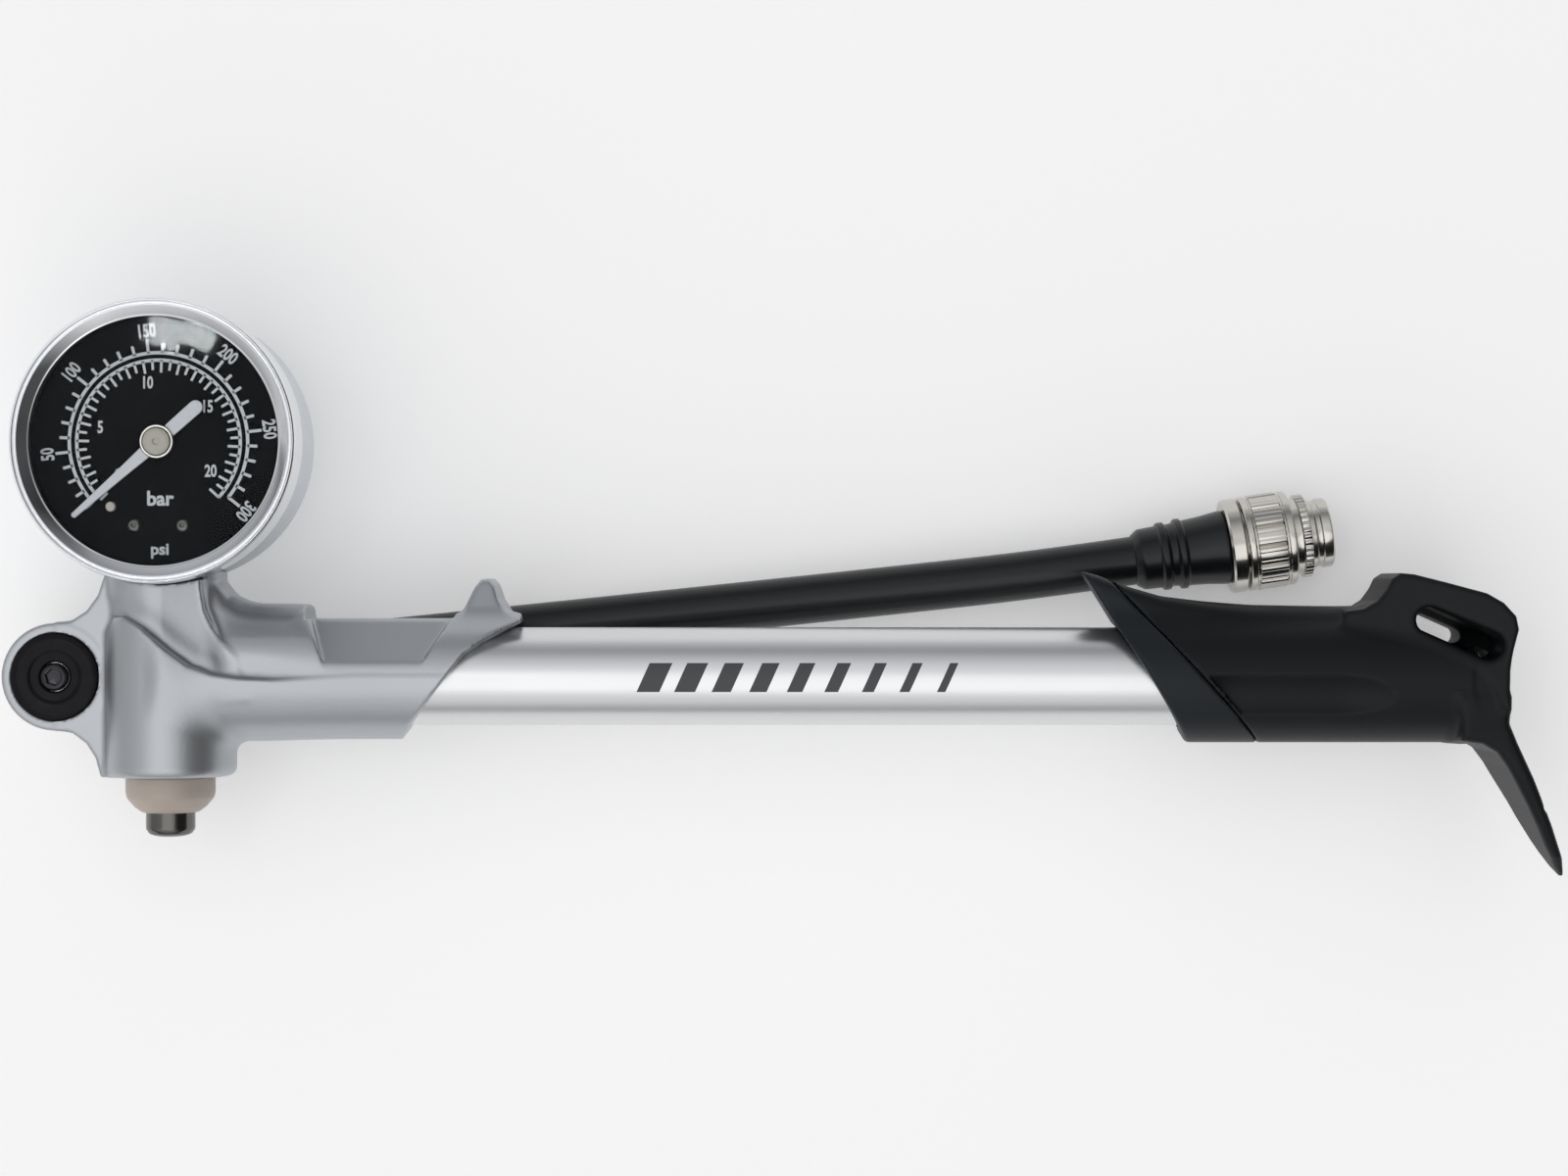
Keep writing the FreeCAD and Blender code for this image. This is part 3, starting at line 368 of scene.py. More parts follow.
def dial_black():
    """Satin black dial enamel."""
    paint = new_paint("dial_black")
    speck = paint.noise(5000, 2.0)
    tone = paint.mix(speck, (0.0015, 0.0016, 0.0022), (0.0040, 0.0042, 0.0052))
    return paint.finish({"Base Color": tone, "Roughness": 0.45 + 0.1 * speck, "Specular IOR Level": 0.02})


def enamel(name, colour):
    """White print or paint with a slightly uneven edge of tone."""
    paint = new_paint(name)
    patch = paint.noise(1800, 3.0)
    tone = paint.mix(patch, scaled(colour, 0.86), scaled(colour, 1.04))
    return paint.finish({"Base Color": tone, "Roughness": 0.40 + 0.15 * patch})


def clear_lens():
    """Flat glass: see-through, with its own gloss."""
    paint = new_paint("clear_lens")
    smear = paint.noise(60, 3.0)
    clear = paint.add("ShaderNodeBsdfTransparent", {}, {"Color": (0.97, 0.98, 0.985, 1.0)})
    sheen = paint.add("ShaderNodeBsdfPrincipled", {}, {"Base Color": (0.9, 0.93, 0.96, 1.0), "Metallic": 1.0,
                                                       "Roughness": 0.01 + 0.02 * smear})
    gloss = paint.add("ShaderNodeFresnel", {}, {"IOR": 1.11})
    both = paint.add("ShaderNodeMixShader", {}, {0: gloss + 0.002 * smear, 1: clear, 2: sheen})
    paint.add("ShaderNodeOutputMaterial", {}, {"Surface": both})
    return paint.owner


def pale_floor():
    """Pale studio paper."""
    paint = new_paint("pale_floor")
    cloud = paint.noise(6, 2.0)
    tone = paint.mix(cloud, (0.955, 0.955, 0.955), (0.97, 0.97, 0.97))
    return paint.finish({"Base Color": tone, "Roughness": 0.75, "Emission Color": (1.0, 1.0, 1.0, 1.0),
                         "Emission Strength": 0.25})


def make_finishes():
    """Every finish, by the name of the record's material slot that it belongs to."""
    palette = colours()
    return {
        "cast_silver": cast_silver(),
        "bright_tube": drawn_aluminium(),
        "nickel": plated("nickel_plate", tuple(palette.nickel), 0.13, 0.10),
        "chrome_ring": plated("chrome_plate", tuple(palette.chrome), 0.07, 0.03),
        "steel": turned_metal("turned_steel", (0.56, 0.56, 0.57), 0.22),
        "dark_pin": turned_metal("dark_steel", (0.15, 0.145, 0.135), 0.12),
        "black_screw": turned_metal("black_screw", (0.045, 0.045, 0.05), 0.16),
        "case_silver": plated("case_silver", (0.66, 0.69, 0.72), 0.34, 0.06),
        "black_grip": moulded_black("moulded_black", 1.0),
        # The collar's finish is the black plastic made 2.6 times lighter: painted highlight for the light that
        # falls on the collar, not wear.
        "rubbed_grip": moulded_black("black_painted_highlight", 2.6),
        "black_hose": extruded_rubber(),
        "black_disc": gloss_black(),
        "seal": soft_seal(),
        "beige_bush": machined_nylon("beige_nylon", tuple(palette.nylon)),
        "white_nylon": machined_nylon("white_nylon", (0.75, 0.74, 0.70)),
        "dial_face": dial_black(),
        "needle_white": enamel("needle_enamel", (0.86, 0.865, 0.89)),
        "dial_ink": enamel("dial_ink", tuple(palette.ink)),
        "cap_beige": machined_nylon("cap_beige", (0.62, 0.57, 0.49)),
        "brass": turned_metal("turned_brass", (0.70, 0.52, 0.26), 0.22),
        "clear_glass": clear_lens(),
        "barrel_ink": enamel("barrel_ink", (0.06, 0.063, 0.07)),
    }


FINISHES = {}


# ------------------------------------------------------------------ mesh helpers

ON_AXIS = 1e-6
JOIN = 1e-5
THINNEST = 1e-6


def show(name, mesh, finish, body, replaced=(), sharp=40.0):
    """Link a mesh in millimetres as a piece in metres, give it a finish and let it ride on a body."""
    mesh.transform(Matrix.Scale(MM, 4))
    for face in mesh.polygons:
        face.use_smooth = True
    mesh.set_sharp_from_angle(angle=math.radians(sharp))
    piece = bpy.data.objects.new(name, mesh)
    bpy.context.scene.collection.objects.link(piece)
    mesh.materials.append(FINISHES[finish])
    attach(piece, body)
    if replaced:
        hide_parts(*replaced)
    return piece


def flat_mesh(name, vertices, faces):
    """A mesh from plain lists, left as it is."""
    mesh = bpy.data.meshes.new(name)
    mesh.from_pydata(vertices, [], faces)
    mesh.update()
    return mesh


def closed_mesh(name, vertices, faces, join=0.0, thinnest=0.0):
    """A mesh from plain lists with its normals outwards; points nearer than join are made one."""
    mesh = flat_mesh(name, vertices, faces)
    shell = bmesh.new()
    shell.from_mesh(mesh)
    if join:
        bmesh.ops.remove_doubles(shell, verts=shell.verts, dist=join)
    bmesh.ops.recalc_face_normals(shell, faces=shell.faces)
    if thinnest:
        bmesh.ops.dissolve_degenerate(shell, edges=shell.edges, dist=thinnest)
    shell.to_mesh(mesh)
    shell.free()
    return mesh


def soften(profile, radius, steps):
    """A closed profile with its corners rounded, except those on the axis."""
    points = [Vector(p) for p in profile]
    count = len(points)
    done = []
    for i, here in enumerate(points):
        before, after = points[i - 1], points[(i + 1) % count]
        on_axis = here.y < ON_AXIS
        come, go = (before - here), (after - here)
        reach = min(radius, come.length * 0.45, go.length * 0.45)
        if on_axis or reach < 1e-4:
            done.append(here)
            continue
        start, end = here + come.normalized() * reach, here + go.normalized() * reach
        for k in range(steps + 1):
            t = k / steps
            done.append(start * (1 - t) ** 2 + here * 2 * t * (1 - t) + end * t ** 2)
    return [(p.x, p.y) for p in done]


def lathe(name, profile, centre, axis, turns, ripple=None):
    """Closed profile of (along, radius) turned round an axis. ripple(along, radius, angle) sets a radius."""
    lead = Vector(axis).normalized()
    side = lead.orthogonal().normalized()
    up = lead.cross(side)
    origin = Vector(centre)
    vertices, faces = [], []
    count = len(profile)
    for number in range(turns):
        angle = 2 * math.pi * number / turns
        out = side * math.cos(angle) + up * math.sin(angle)
        for along, radius in profile:
            real = ripple(along, radius, angle) if ripple else radius
            vertices.append(origin + lead * along + out * real)
    for number in range(turns):
        here, there = number * count, (number + 1) % turns * count
        for i in range(count):
            j = (i + 1) % count
            if profile[i][1] < ON_AXIS and profile[j][1] < ON_AXIS:
                continue
            faces.append((here + i, here + j, there + j, there + i))
    return closed_mesh(name, vertices, faces, JOIN, THINNEST)


def turned(name, profile, rounding, line, turns, finish, body, replaced=(), sharp=35.0, ripple=None):
    """A piece turned on a lathe about a line; rounding is the corners' radius and steps."""
    mesh = lathe(name, soften(profile, *rounding), *line, turns, ripple)
    return show(name, mesh, finish, body, replaced, sharp)


# ------------------------------------------------------------------ moulded and cast shapes

def merge(first, second, blend):
    """Two solids joined with a fillet."""
    share = np.clip(0.5 + 0.5 * (second - first) / blend, 0, 1)
    return second * (1 - share) + first * share - blend * share * (1 - share)


def trim(first, second, edge):
    """What two solids share, with a rounded edge."""
    return -merge(-first, -second, edge)


def carve(solid, tool, edge):
    """A solid less a tool, with a rounded edge."""
    return trim(solid, -tool, edge)


def between(value, low, high, edge):
    """A slab from low to high."""
    return trim(low - value, value - high, edge)


def inside_outline(x, y, corners):
    """Distance to a closed outline: below zero inside it."""
    nearest = np.full(x.shape, 1e9)
    sign = np.ones(x.shape)
    previous = corners[-1]
    for here in corners:
        ex, ey = previous[0] - here[0], previous[1] - here[1]
        wx, wy = x - here[0], y - here[1]
        share = np.clip((wx * ex + wy * ey) / (ex * ex + ey * ey), 0, 1)
        nearest = np.minimum(nearest, (wx - ex * share) ** 2 + (wy - ey * share) ** 2)
        above = y >= here[1]
        below = y < previous[1]
        left = ex * wy > ey * wx
        flip = (above & below & left) | (~above & ~below & ~left)
        sign = np.where(flip, -sign, sign)
        previous = here
    return sign * np.sqrt(nearest)


# The twelve edges of a cell, as pairs of its eight corners.
CELL_EDGES = [(i, j) for i in range(8) for j in range(i + 1, 8) if bin(i ^ j).count("1") == 1]

# How the skin's points are drawn on to the true surface.
SETTLING_ROUNDS = 3
PROBE = 0.02
LEAST_SLOPE = 0.2
LONGEST_PULL = 0.4


def skin(name, distance, low, high, step):
    """A smooth quad mesh over the zero surface of distance(x, y, z), in millimetres."""
    axes = [np.arange(a - step, b + 2 * step, step) for a, b in zip(low, high)]
    x, y, z = np.meshgrid(*axes, indexing="ij")
    level = distance(x, y, z)
    shape = tuple(n - 1 for n in level.shape)
    offsets = [((c >> 2) & 1, (c >> 1) & 1, c & 1) for c in range(8)]
    corner_levels = [level[a:a + shape[0], b:b + shape[1], c:c + shape[2]] for a, b, c in offsets]
    filled = sum((values < 0).astype(np.int8) for values in corner_levels)
    cells = np.argwhere((filled > 0) & (filled < 8))
    number = -np.ones(shape, np.int64)
    number[tuple(cells.T)] = np.arange(len(cells))
    total = np.zeros((len(cells), 3))
    hits = np.zeros(len(cells))
    picked = [values[tuple(cells.T)] for values in corner_levels]
    for i, j in CELL_EDGES:
        crosses = (picked[i] < 0) != (picked[j] < 0)
        share = np.where(crosses, picked[i] / np.where(crosses, picked[i] - picked[j], 1), 0)
        start, end = np.array(offsets[i], float), np.array(offsets[j], float)
        total += np.where(crosses[:, None], start + (end - start) * share[:, None], 0)
        hits += crosses
    points = (cells + total / hits[:, None]) * step + np.array([axis[0] for axis in axes])
    for _ in range(SETTLING_ROUNDS):
        gap = distance(*points.T)
        slope = np.stack([distance(*(points + shift).T) - distance(*(points - shift).T)
                          for shift in np.eye(3) * PROBE], axis=1) / (2 * PROBE)
        pull = gap[:, None] * slope / np.maximum((slope ** 2).sum(1), LEAST_SLOPE)[:, None]
        points -= np.clip(pull, -LONGEST_PULL * step, LONGEST_PULL * step)
    faces = []
    negative = level < 0
    for way in range(3):
        first, second = [n for n in range(3) if n != way]
        a = [slice(None)] * 3
        b = [slice(None)] * 3
        a[way], b[way] = slice(0, -1), slice(1, None)
        change = np.argwhere(negative[tuple(a)] != negative[tuple(b)])
        keep = (change[:, first] > 0) & (change[:, second] > 0)
        keep &= (change[:, first] < shape[first]) & (change[:, second] < shape[second])
        change = change[keep]
        ring = []
        for p, q in ((0, 0), (1, 0), (1, 1), (0, 1)):
            cell = change.copy()
            cell[:, first] -= p
            cell[:, second] -= q
            ring.append(number[tuple(cell.T)])
        faces.append(np.stack(ring, axis=1))
    return closed_mesh(name, points.tolist(), np.concatenate(faces).tolist())


# ------------------------------------------------------------------ head casting

# Outlines as (along the barrel, up). The first four are measured from the gauge's middle, the next two from the
# sleeve's tip and the last from the eye's middle.
RIDGE = [(-14.0, 3.0), (-9.4, 3.2), (-9.1, 6.6), (-7.4, 9.0), (-5.4, 9.1), (-2.8, 7.6), (1.2, 4.3), (4.6, 1.9),
         (8.0, 0.6), (12.0, 0.0), (17.0, -0.2), (23.0, 0.0), (29.0, 0.3), (60.0, 0.3), (60.0, -30.0),
         (-14.0, -30.0)]
NECK_FRONT = [(-9.0, 22.0), (6.1, 22.0), (6.1, 13.5), (6.7, 10.1), (8.7, 5.5), (11.4, 2.2), (13.0, -3.0),
              (-9.0, -3.0)]
NECK_SIDE = [(2.0, 22.0), (8.1, 22.0), (8.1, 14.4), (9.9, 12.1), (12.0, 10.8), (13.6, 10.3), (20.9, 10.05),
             (20.9, 0.0), (2.0, 0.0)]
FACET = [(20.9, 12.0), (24.6, 2.0), (38.9, 2.0), (42.9, 8.6), (43.6, 12.0)]
SLEEVE_END = [(-120, -30), (-17.7, -30), (-17.7, -9.3), (-9.7, 1.0), (-7.7, 3.6), (-5.2, 5.6), (-2.4, 7.2),
              (0.0, 8.4), (0.0, 30), (-120, 30)]
FIN = [(-13.5, 1.8), (-10.6, 5.6), (-9.0, 8.4), (-7.8, 11.4), (-6.9, 13.4), (-5.9, 14.7), (-4.7, 14.8),
       (-3.8, 13.8), (-3.1, 11.7), (-2.0, 9.9), (-0.3, 8.6), (-2.6, 7.0), (-5.2, 5.4), (-8.0, 3.0), (-9.9, 0.8)]
PLATE = [(0.0, 8.2), (2.4, 8.5), (4.6, 9.9), (6.3, 12.2), (7.3, 15.2), (9.0, 17.5), (12.0, 17.5), (12.0, -15.1),
         (6.8, -15.1), (6.0, -12.2), (4.6, -10.0), (2.6, -8.5), (0.0, -8.0)]

SLEEVE_RADIUS = 9.4
UPRIGHT_RADIUS = 9.9
UPRIGHT_FOOT = -15.1
NECK_TOP = 19.0
NECK_HALF = 5.6
CASTING_BACK = -9.0
EYE_RADIUS = 8.1
EYE_DISH = 6.62
BOLT_BORE = 3.56
BUSH_BORE = 5.05
CHAMBER_BORE = 2.5
FLAT_START, FLAT_END = 21.2, 43.4
FLAT_TOP = 8.75
FACET_DEPTH = 8.45


def fade(value, middle, width):
    """1 well below the middle, 0 well above it."""
    return 1 / (1 + np.exp(np.clip((value - middle) / width, -30, 30)))


def upper_casting(u, y, z, out, below_ridge):
    """The neck under the gauge and the upper sleeve, with the groove that runs along the ridge."""
    fuller = fade(u - 24.6 + 0.37 * (y - 2), 0, 0.15) * np.clip((y - 1) / 5, 0, 1)
    sleeve = out - SLEEVE_RADIUS - 0.6 * fuller
    crown = np.sqrt(np.maximum(0.12, 1 - (np.minimum(u + 1.5, 0) / 8.6) ** 2))
    front_rise = 7.2 * crown + 0.14 * np.maximum(u, 0)
    neck = trim(inside_outline(u, y, NECK_FRONT), np.abs(z) - front_rise, 0.7)
    side = trim(inside_outline(u, y, NECK_SIDE), np.abs(z) - NECK_HALF, 3.4)
    upper = merge(neck, merge(side, trim(sleeve, 8.5 - u, 2.0), 3.6), 1.6)
    return upper + 0.55 * np.exp(-((below_ridge - 1.2) / 1.9) ** 2) * fade(u, 17.0, 2.6) * (z > 0)


def lower_casting(u, y, z, out, below_ridge):
    """The upright body and the lower sleeve, up to the ridge."""
    upright = trim(np.hypot(u, z) - UPRIGHT_RADIUS, UPRIGHT_FOOT - y, 1.6)
    sleeve = trim(out - SLEEVE_RADIUS - 0.45 * fade(u, 20.0, 2.6), -u, 2.0)
    return trim(merge(upright, sleeve, mm(shapes().cast_blend)), below_ridge, mm(shapes().cast_edge))


def eye_casting(x, y, z, eye_out):
    """The hose's eye and the plate that carries it."""
    plate = trim(inside_outline(x - EYE.x, y - EYE.y, PLATE), between(z, -7.4, 4.0, 0.6), 0.6)
    eye = trim(eye_out - EYE_RADIUS, between(z, -8.6, 4.05, 0.6), 0.6)
    return merge(plate, eye, 0.4)


def flats(u, y, z):
    """The two cuts over the sleeve: the slanted facet and the level one above it."""
    across = between(u, FLAT_START, FLAT_END, 0.3)
    facet = trim(inside_outline(u, y, FACET), FACET_DEPTH - (y * 0.633 + z * 0.775), 0.2)
    return trim(facet, across, 0.2), trim(FLAT_TOP - y, across, 0.2)


def sleeve_fin(tip, y, z):
    """The fin at the sleeve's slanted end."""
    crest = 5.8 - 0.45 * np.maximum(y - 4.0, 0)
    return trim(inside_outline(tip, y, FIN), between(z, -9.0, crest, 0.6), 0.8)


def carve_bores(body, u, y, z, out, eye_out):
    """The casting with room for the barrel, the eye's disc and bolt, the bleed bush and the air."""
    body = carve(body, trim(out - BARREL_RADIUS - 0.03, 10.0 - u, 0.1), 0.25)
    body = carve(body, trim(eye_out - EYE_DISH, 3.2 - z, 0.2), 0.25)
    body = carve(body, eye_out - BOLT_BORE, 0.1)
    bush = trim(np.hypot(u, z) - BUSH_BORE, y + 8.8, 0.1)
    chamber = trim(np.hypot(u, z) - CHAMBER_BORE, y - 5.0, 0.1)
    return carve(body, np.minimum(bush, chamber), 0.1)


def head_distance(x, y, z):
    """The casting: eye and plate, upright body, neck under the gauge, and the sleeve with its fin."""
    u = x - GAUGE.x
    tip = x - SLEEVE_TIP
    out = np.hypot(y, z)
    eye_out = np.hypot(x - EYE.x, y - EYE.y)
    gauge_out = np.hypot(u, y - GAUGE.y)
    below_ridge = inside_outline(u, y, RIDGE)
    body = merge(upper_casting(u, y, z, out, below_ridge), lower_casting(u, y, z, out, below_ridge), 0.5)
    body = merge(body, eye_casting(x, y, z, eye_out), 0.5)
    body = carve(body, gauge_out - CASE_RADIUS - 0.06, 0.3)
    body = carve(body, trim(gauge_out - BEZEL_RADIUS - 0.1, 5.8 - z, 0.2), 0.3)
    body = trim(body, y - NECK_TOP, 0.4)
    body = trim(body, inside_outline(tip + 0.16 * np.maximum(-z, 0), y, SLEEVE_END), 0.35)
    for cut in flats(u, y, z):
        body = carve(body, cut, 0.22)
    body = merge(body, sleeve_fin(tip, y, z), 1.8)
    body = trim(body, CASTING_BACK - z, 0.5)
    return carve_bores(body, u, y, z, out, eye_out)


# ------------------------------------------------------------------ grip

SEAM_GAP = 0.12
PALM_END = PALM_START + 6.0
ROD_WAY = 3.06
SCREW_WAY = 4.35

# Outlines as (along the barrel, up): the ear from the grip's front, the others from the palm rest's face.
EAR = [(-8, 2.0), (-8, 16.0), (0.0, 15.9), (2.4, 15.3), (6.6, 13.7), (11.9, 12.15), (19.1, 11.05), (26.0, 10.2),
       (36.0, 9.85), (50.0, 9.8), (50.0, 2.0)]
LOBE = [(-24.5, 7.0), (-23.6, 9.9), (-20.9, 10.3), (-18.9, 11.5), (-17.6, 13.2), (-16.8, 14.8), (-15.6, 15.6),
        (-13.6, 15.4), (-9.0, 14.2), (-3.2, 12.6), (-0.8, 11.2), (1.0, 9.2), (1.4, 7.2), (0.6, 4.0), (0.1, 1.0),
        (0.0, -4.6), (-0.9, -3.9), (-2.2, -1.0), (-3.7, 0.9), (-6.3, 2.3), (-11.1, 4.4), (-15.4, 5.5),
        (-19.5, 6.0)]
WING = [(0.1, -3.0), (0.3, -6.8), (1.5, -9.6), (4.4, -15.6), (7.5, -22.6), (9.6, -27.4), (10.4, -30.0),
        (10.0, -30.4), (8.8, -28.9), (6.6, -25.2), (3.6, -19.4), (0.2, -13.4), (-1.4, -11.2), (-3.6, -9.9),
        (-7.0, -9.4), (-7.0, -3.0)]


def slant(x, y, top, low):
    """How far a point lies in front of a slanted line across the grip; below zero behind it."""
    high_point, low_point = (GRIP_FRONT + top, 16.0), (GRIP_FRONT + low, -10.2)
    run = (low_point[0] - high_point[0], low_point[1] - high_point[1])
    size = math.hypot(*run)
    return ((x - high_point[0]) * run[1] - (y - high_point[1]) * run[0]) / size


def grip_tube(x, y, z, out):
    """The grip's tube and the ear that rises from it at the front."""
    tube = trim(out - GRIP_RADIUS, x - PALM_START - 1.0, 0.8)
    ear_half = np.interp(x - GRIP_FRONT, [0, 18, 42, 50], [5.2, 5.6, 3.4, 2.6])
    ear = trim(inside_outline(x - GRIP_FRONT, y, EAR), np.abs(z) - ear_half, 2.4)
    return merge(tube, ear, 2.8)


def palm_lobe(x, y, z):
    """The upper part of the palm rest, which holds the lanyard slot."""
    half = 7.9 + 0.15 * (x - PALM_END + 16.5)
    return trim(inside_outline(x - PALM_END, y, LOBE), np.abs(z) - half, mm(shapes().grip_edge))


def palm_wing(x, y, z):
    """The wing that the palm pushes on, leaf-shaped towards its point."""
    half = np.interp(-y, [2, 8, 15, 22, 27, 30, 31], [9.6, 9.6, 8.8, 6.9, 4.3, 1.4, 0.6])
    return trim(inside_outline(x - PALM_END, y, WING), np.abs(z) - half, 1.3)


def wing_grooves(x, y, z):
    """Shallow grooves down the palm's side of the wing."""
    grooves = between(np.abs(np.abs(z) - 5.2), 0.9, 1.7, 0.2)
    grooves = trim(grooves, between(y, -20.0, -4.5, 2.0), 0.3)
    beyond = (x - PALM_END) - np.interp(-y, [4, 7, 10, 16, 23, 27, 31], [0.1, 0.3, 1.6, 4.4, 7.6, 9.7, 10.4])
    return trim(grooves, -0.5 - beyond, 0.2)


def lanyard_slot(x, y, z):
    """The slanted slot through the lobe, narrower at the back and flared at its mouths."""
    tilt = math.radians(-24)
    right, up = x - (PALM_END - 7.2), y - 6.7
    along = right * math.cos(tilt) + up * math.sin(tilt)
    across = -right * math.sin(tilt) + up * math.cos(tilt)
    waist = np.clip((2.5 - z) / 4, 0, 1)
    past_end = np.maximum(np.abs(along + 1.2 * waist) - 4.65 + 2.0 * waist, 0)
    slot = np.hypot(past_end, across) - 1.85 + 0.7 * waist
    return slot - 0.12 * np.maximum(0, np.abs(z) - 7.2)


def side_scoop(x, y, z):
    """The long shallow hollow in the grip's face, open at the seam and round at its far end."""
    lean = math.radians(-15.7)
    far = np.maximum(x - GRIP_FRONT - 37.0, 0) * 0.42
    scoop = np.sqrt((y - 14.0 * math.sin(lean)) ** 2 + (z - 14.0 * math.cos(lean)) ** 2 + far ** 2) - 5.5
    return trim(scoop, slant(x, y, 4.4, 27.6), 0.3)


def grip_solid(x, y, z):
    """The grip, its ear and the palm rest, before the front is cut off and the seam is made."""
    out = np.hypot(y, z)
    disc = trim(out - GRIP_RADIUS + 0.12, between(x, PALM_START - 0.2, PALM_END, 1.2), 1.4)
    body = merge(grip_tube(x, y, z, out), disc, 0.3)
    body = merge(body, palm_lobe(x, y, z), 0.8)
    body = merge(body, palm_wing(x, y, z), 1.6)
    body = carve(body, wing_grooves(x, y, z), 0.3)
    body = carve(body, lanyard_slot(x, y, z), 0.9)
    body = carve(body, side_scoop(x, y, z), 0.25)
    part_line = trim(np.abs(y + 1.5) - 0.1, GRIP_RADIUS - 0.12 - out, 0.05)
    body = carve(body, trim(part_line, between(x, GRIP_FRONT + 45.5, PALM_START, 0.2), 0.1), 0.12)
    body = carve(body, trim(out - BARREL_RADIUS - 0.35, x - PALM_START + 7.5, 0.1), 0.2)
    body = carve(body, out - ROD_WAY, 0.1)
    return carve(body, trim(out - SCREW_WAY, PALM_START + 0.05 - x, 0.1), 0.3)


def grip_distance(x, y, z):
    """The grip behind its seam."""
    return trim(grip_solid(x, y, z), slant(x, y, 3.0 + SEAM_GAP, 27.0 + SEAM_GAP), 0.3)


def collar_distance(x, y, z):
    """The slanted collar between the grip's front cut and the seam."""
    collar = trim(grip_solid(x, y, z), slant(x - 0.17 * np.maximum(-z, 0), y, 0.0, 16.2), 0.5)
    return trim(collar, -slant(x, y, 2.95, 26.95), 0.3)


# ------------------------------------------------------------------ operators

# How far the search for a surface goes past a node's box, for fillets and for the grip's widest part.
FILLET_ROOM = Vector((0.3, 0.6, 1.6))
GRIP_ROOM = 11.0
EAR_TOP = 16.2


class PUMP_OT_finishes(bpy.types.Operator):
    """Make the finishes and give one to every CAD node"""
    bl_idname = "pump.finishes"
    bl_label = "Finishes"

    def execute(self, context):
        FINISHES.update(make_finishes())
        for part in frame["record"]["subparts"]:
            node = frame["nodes"][part["node"]]
            if not node.material_slots:
                node.data.materials.append(None)
            for held in node.material_slots:
                held.material = FINISHES[part["material_slot"]]
        frame["nodes"]["gauge_case"].material_slots[0].material = FINISHES["case_silver"]
        return {"FINISHED"}


class PUMP_OT_head(bpy.types.Operator):
    """Model the head casting"""
    bl_idname = "pump.head"
    bl_label = "Head casting"

    def execute(self, context):
        low, high = corner("head_body", 0), corner("head_body", 1)
        mesh = skin("head_casting", head_distance, low, high + FILLET_ROOM, mm(shapes().grain))
        show("head_casting", mesh, "cast_silver", "head", ["head_body"], sharp=60)
        return {"FINISHED"}


class PUMP_OT_grip(bpy.types.Operator):
    """Model the grip with its palm rest, and its slanted collar"""
    bl_idname = "pump.grip"
    bl_label = "Grip"

    def execute(self, context):
        step = mm(shapes().grain)
        low = Vector((corner("grip_body", 0).x, corner("palm_rest", 0).y, -GRIP_ROOM))
        high = Vector((corner("palm_rest", 1).x, EAR_TOP, GRIP_ROOM))
        mesh = skin("grip_moulding", grip_distance, low, high, step)
        show("grip_moulding", mesh, "black_grip", "grip", ["grip_body", "palm_rest"], sharp=60)
        low, high = corner("grip_collar", 0), corner("grip_collar", 1)
        mesh = skin("collar_moulding", collar_distance, low, high, step)
        # The collar gets the lighter copy of the black plastic: painted highlight.
        show("collar_moulding", mesh, "rubbed_grip", "grip", ["grip_collar"], sharp=60)
        return {"FINISHED"}


def figures_mesh(figures, size, narrow):
    """A word or number as flat faces centred on the origin, in millimetres."""
    curve = bpy.data.curves.new("figures", "FONT")
    curve.body = figures
    curve.size = size
    curve.align_x = "CENTER"
    curve.align_y = "CENTER"
    curve.offset = FIGURE_WEIGHT * size
    curve.resolution_u = 3
    holder = bpy.data.objects.new("figures", curve)
    bpy.context.scene.collection.objects.link(holder)
    bpy.context.view_layer.update()
    mesh = bpy.data.meshes.new_from_object(holder.evaluated_get(bpy.context.evaluated_depsgraph_get()))
    bpy.data.objects.remove(holder)
    mesh.transform(Matrix.Diagonal((narrow, 1, 1, 1)))
    return mesh


class DialPrint:
    """Everything printed on the dial, gathered as flat faces."""

    def __init__(self):
        self.vertices = []
        self.faces = []

    def add(self, points, faces):
        """More points, and faces that count from the first of them."""
        start = len(self.vertices)
        self.vertices += points
        self.faces += [tuple(start + i for i in face) for face in faces]

    def bar(self, angle, inner, outer, width):
        """A straight mark pointing at the centre."""
        out = Vector((math.cos(angle), math.sin(angle), 0))
        side = Vector((-out.y, out.x, 0)) * width / 2
        near, far = out * inner, out * outer
        self.add([near - side, far - side, far + side, near + side], [(0, 1, 2, 3)])

    def ring(self, radius, end):
        """A thin arc, clockwise from the first mark to an angle."""
        start = math.radians(FIRST_MARK)
        points = []
        for k in range(RING_STEPS + 1):
            angle = start + (end - start) * k / RING_STEPS
            out = Vector((math.cos(angle), math.sin(angle), 0))
            points += [out * (radius - RING_WIDTH / 2), out * (radius + RING_WIDTH / 2)]
        self.add(points, [(i, i + 1, i + 3, i + 2) for i in range(0, 2 * RING_STEPS, 2)])

    def word(self, figures, place, size, narrow, turn=0.0):
        """A number or unit at a place."""
        mesh = figures_mesh(figures, size, narrow)
        spin = Matrix.Translation(Vector((*place, 0))) @ Matrix.Rotation(turn, 4, "Z")
        self.add([spin @ v.co for v in mesh.vertices], [tuple(f.vertices) for f in mesh.polygons])


# The dial's scale, in degrees, and its radii in millimetres.
ZERO_ANGLE = 231.5
FIRST_MARK = 221.6
PER_PSI = 0.9
PSI_IN_BAR = 14.504
PSI_RING, PSI_FIGURES = 13.25, 16.5
BAR_RING, BAR_FIGURES = 12.15, 8.9
RING_WIDTH = 0.5
RING_STEPS = 120
FIGURE_WEIGHT = 0.03


def psi_angle(psi):
    """Where a pressure stands on the dial, in radians."""
    return math.radians(ZERO_ANGLE - psi * PER_PSI)


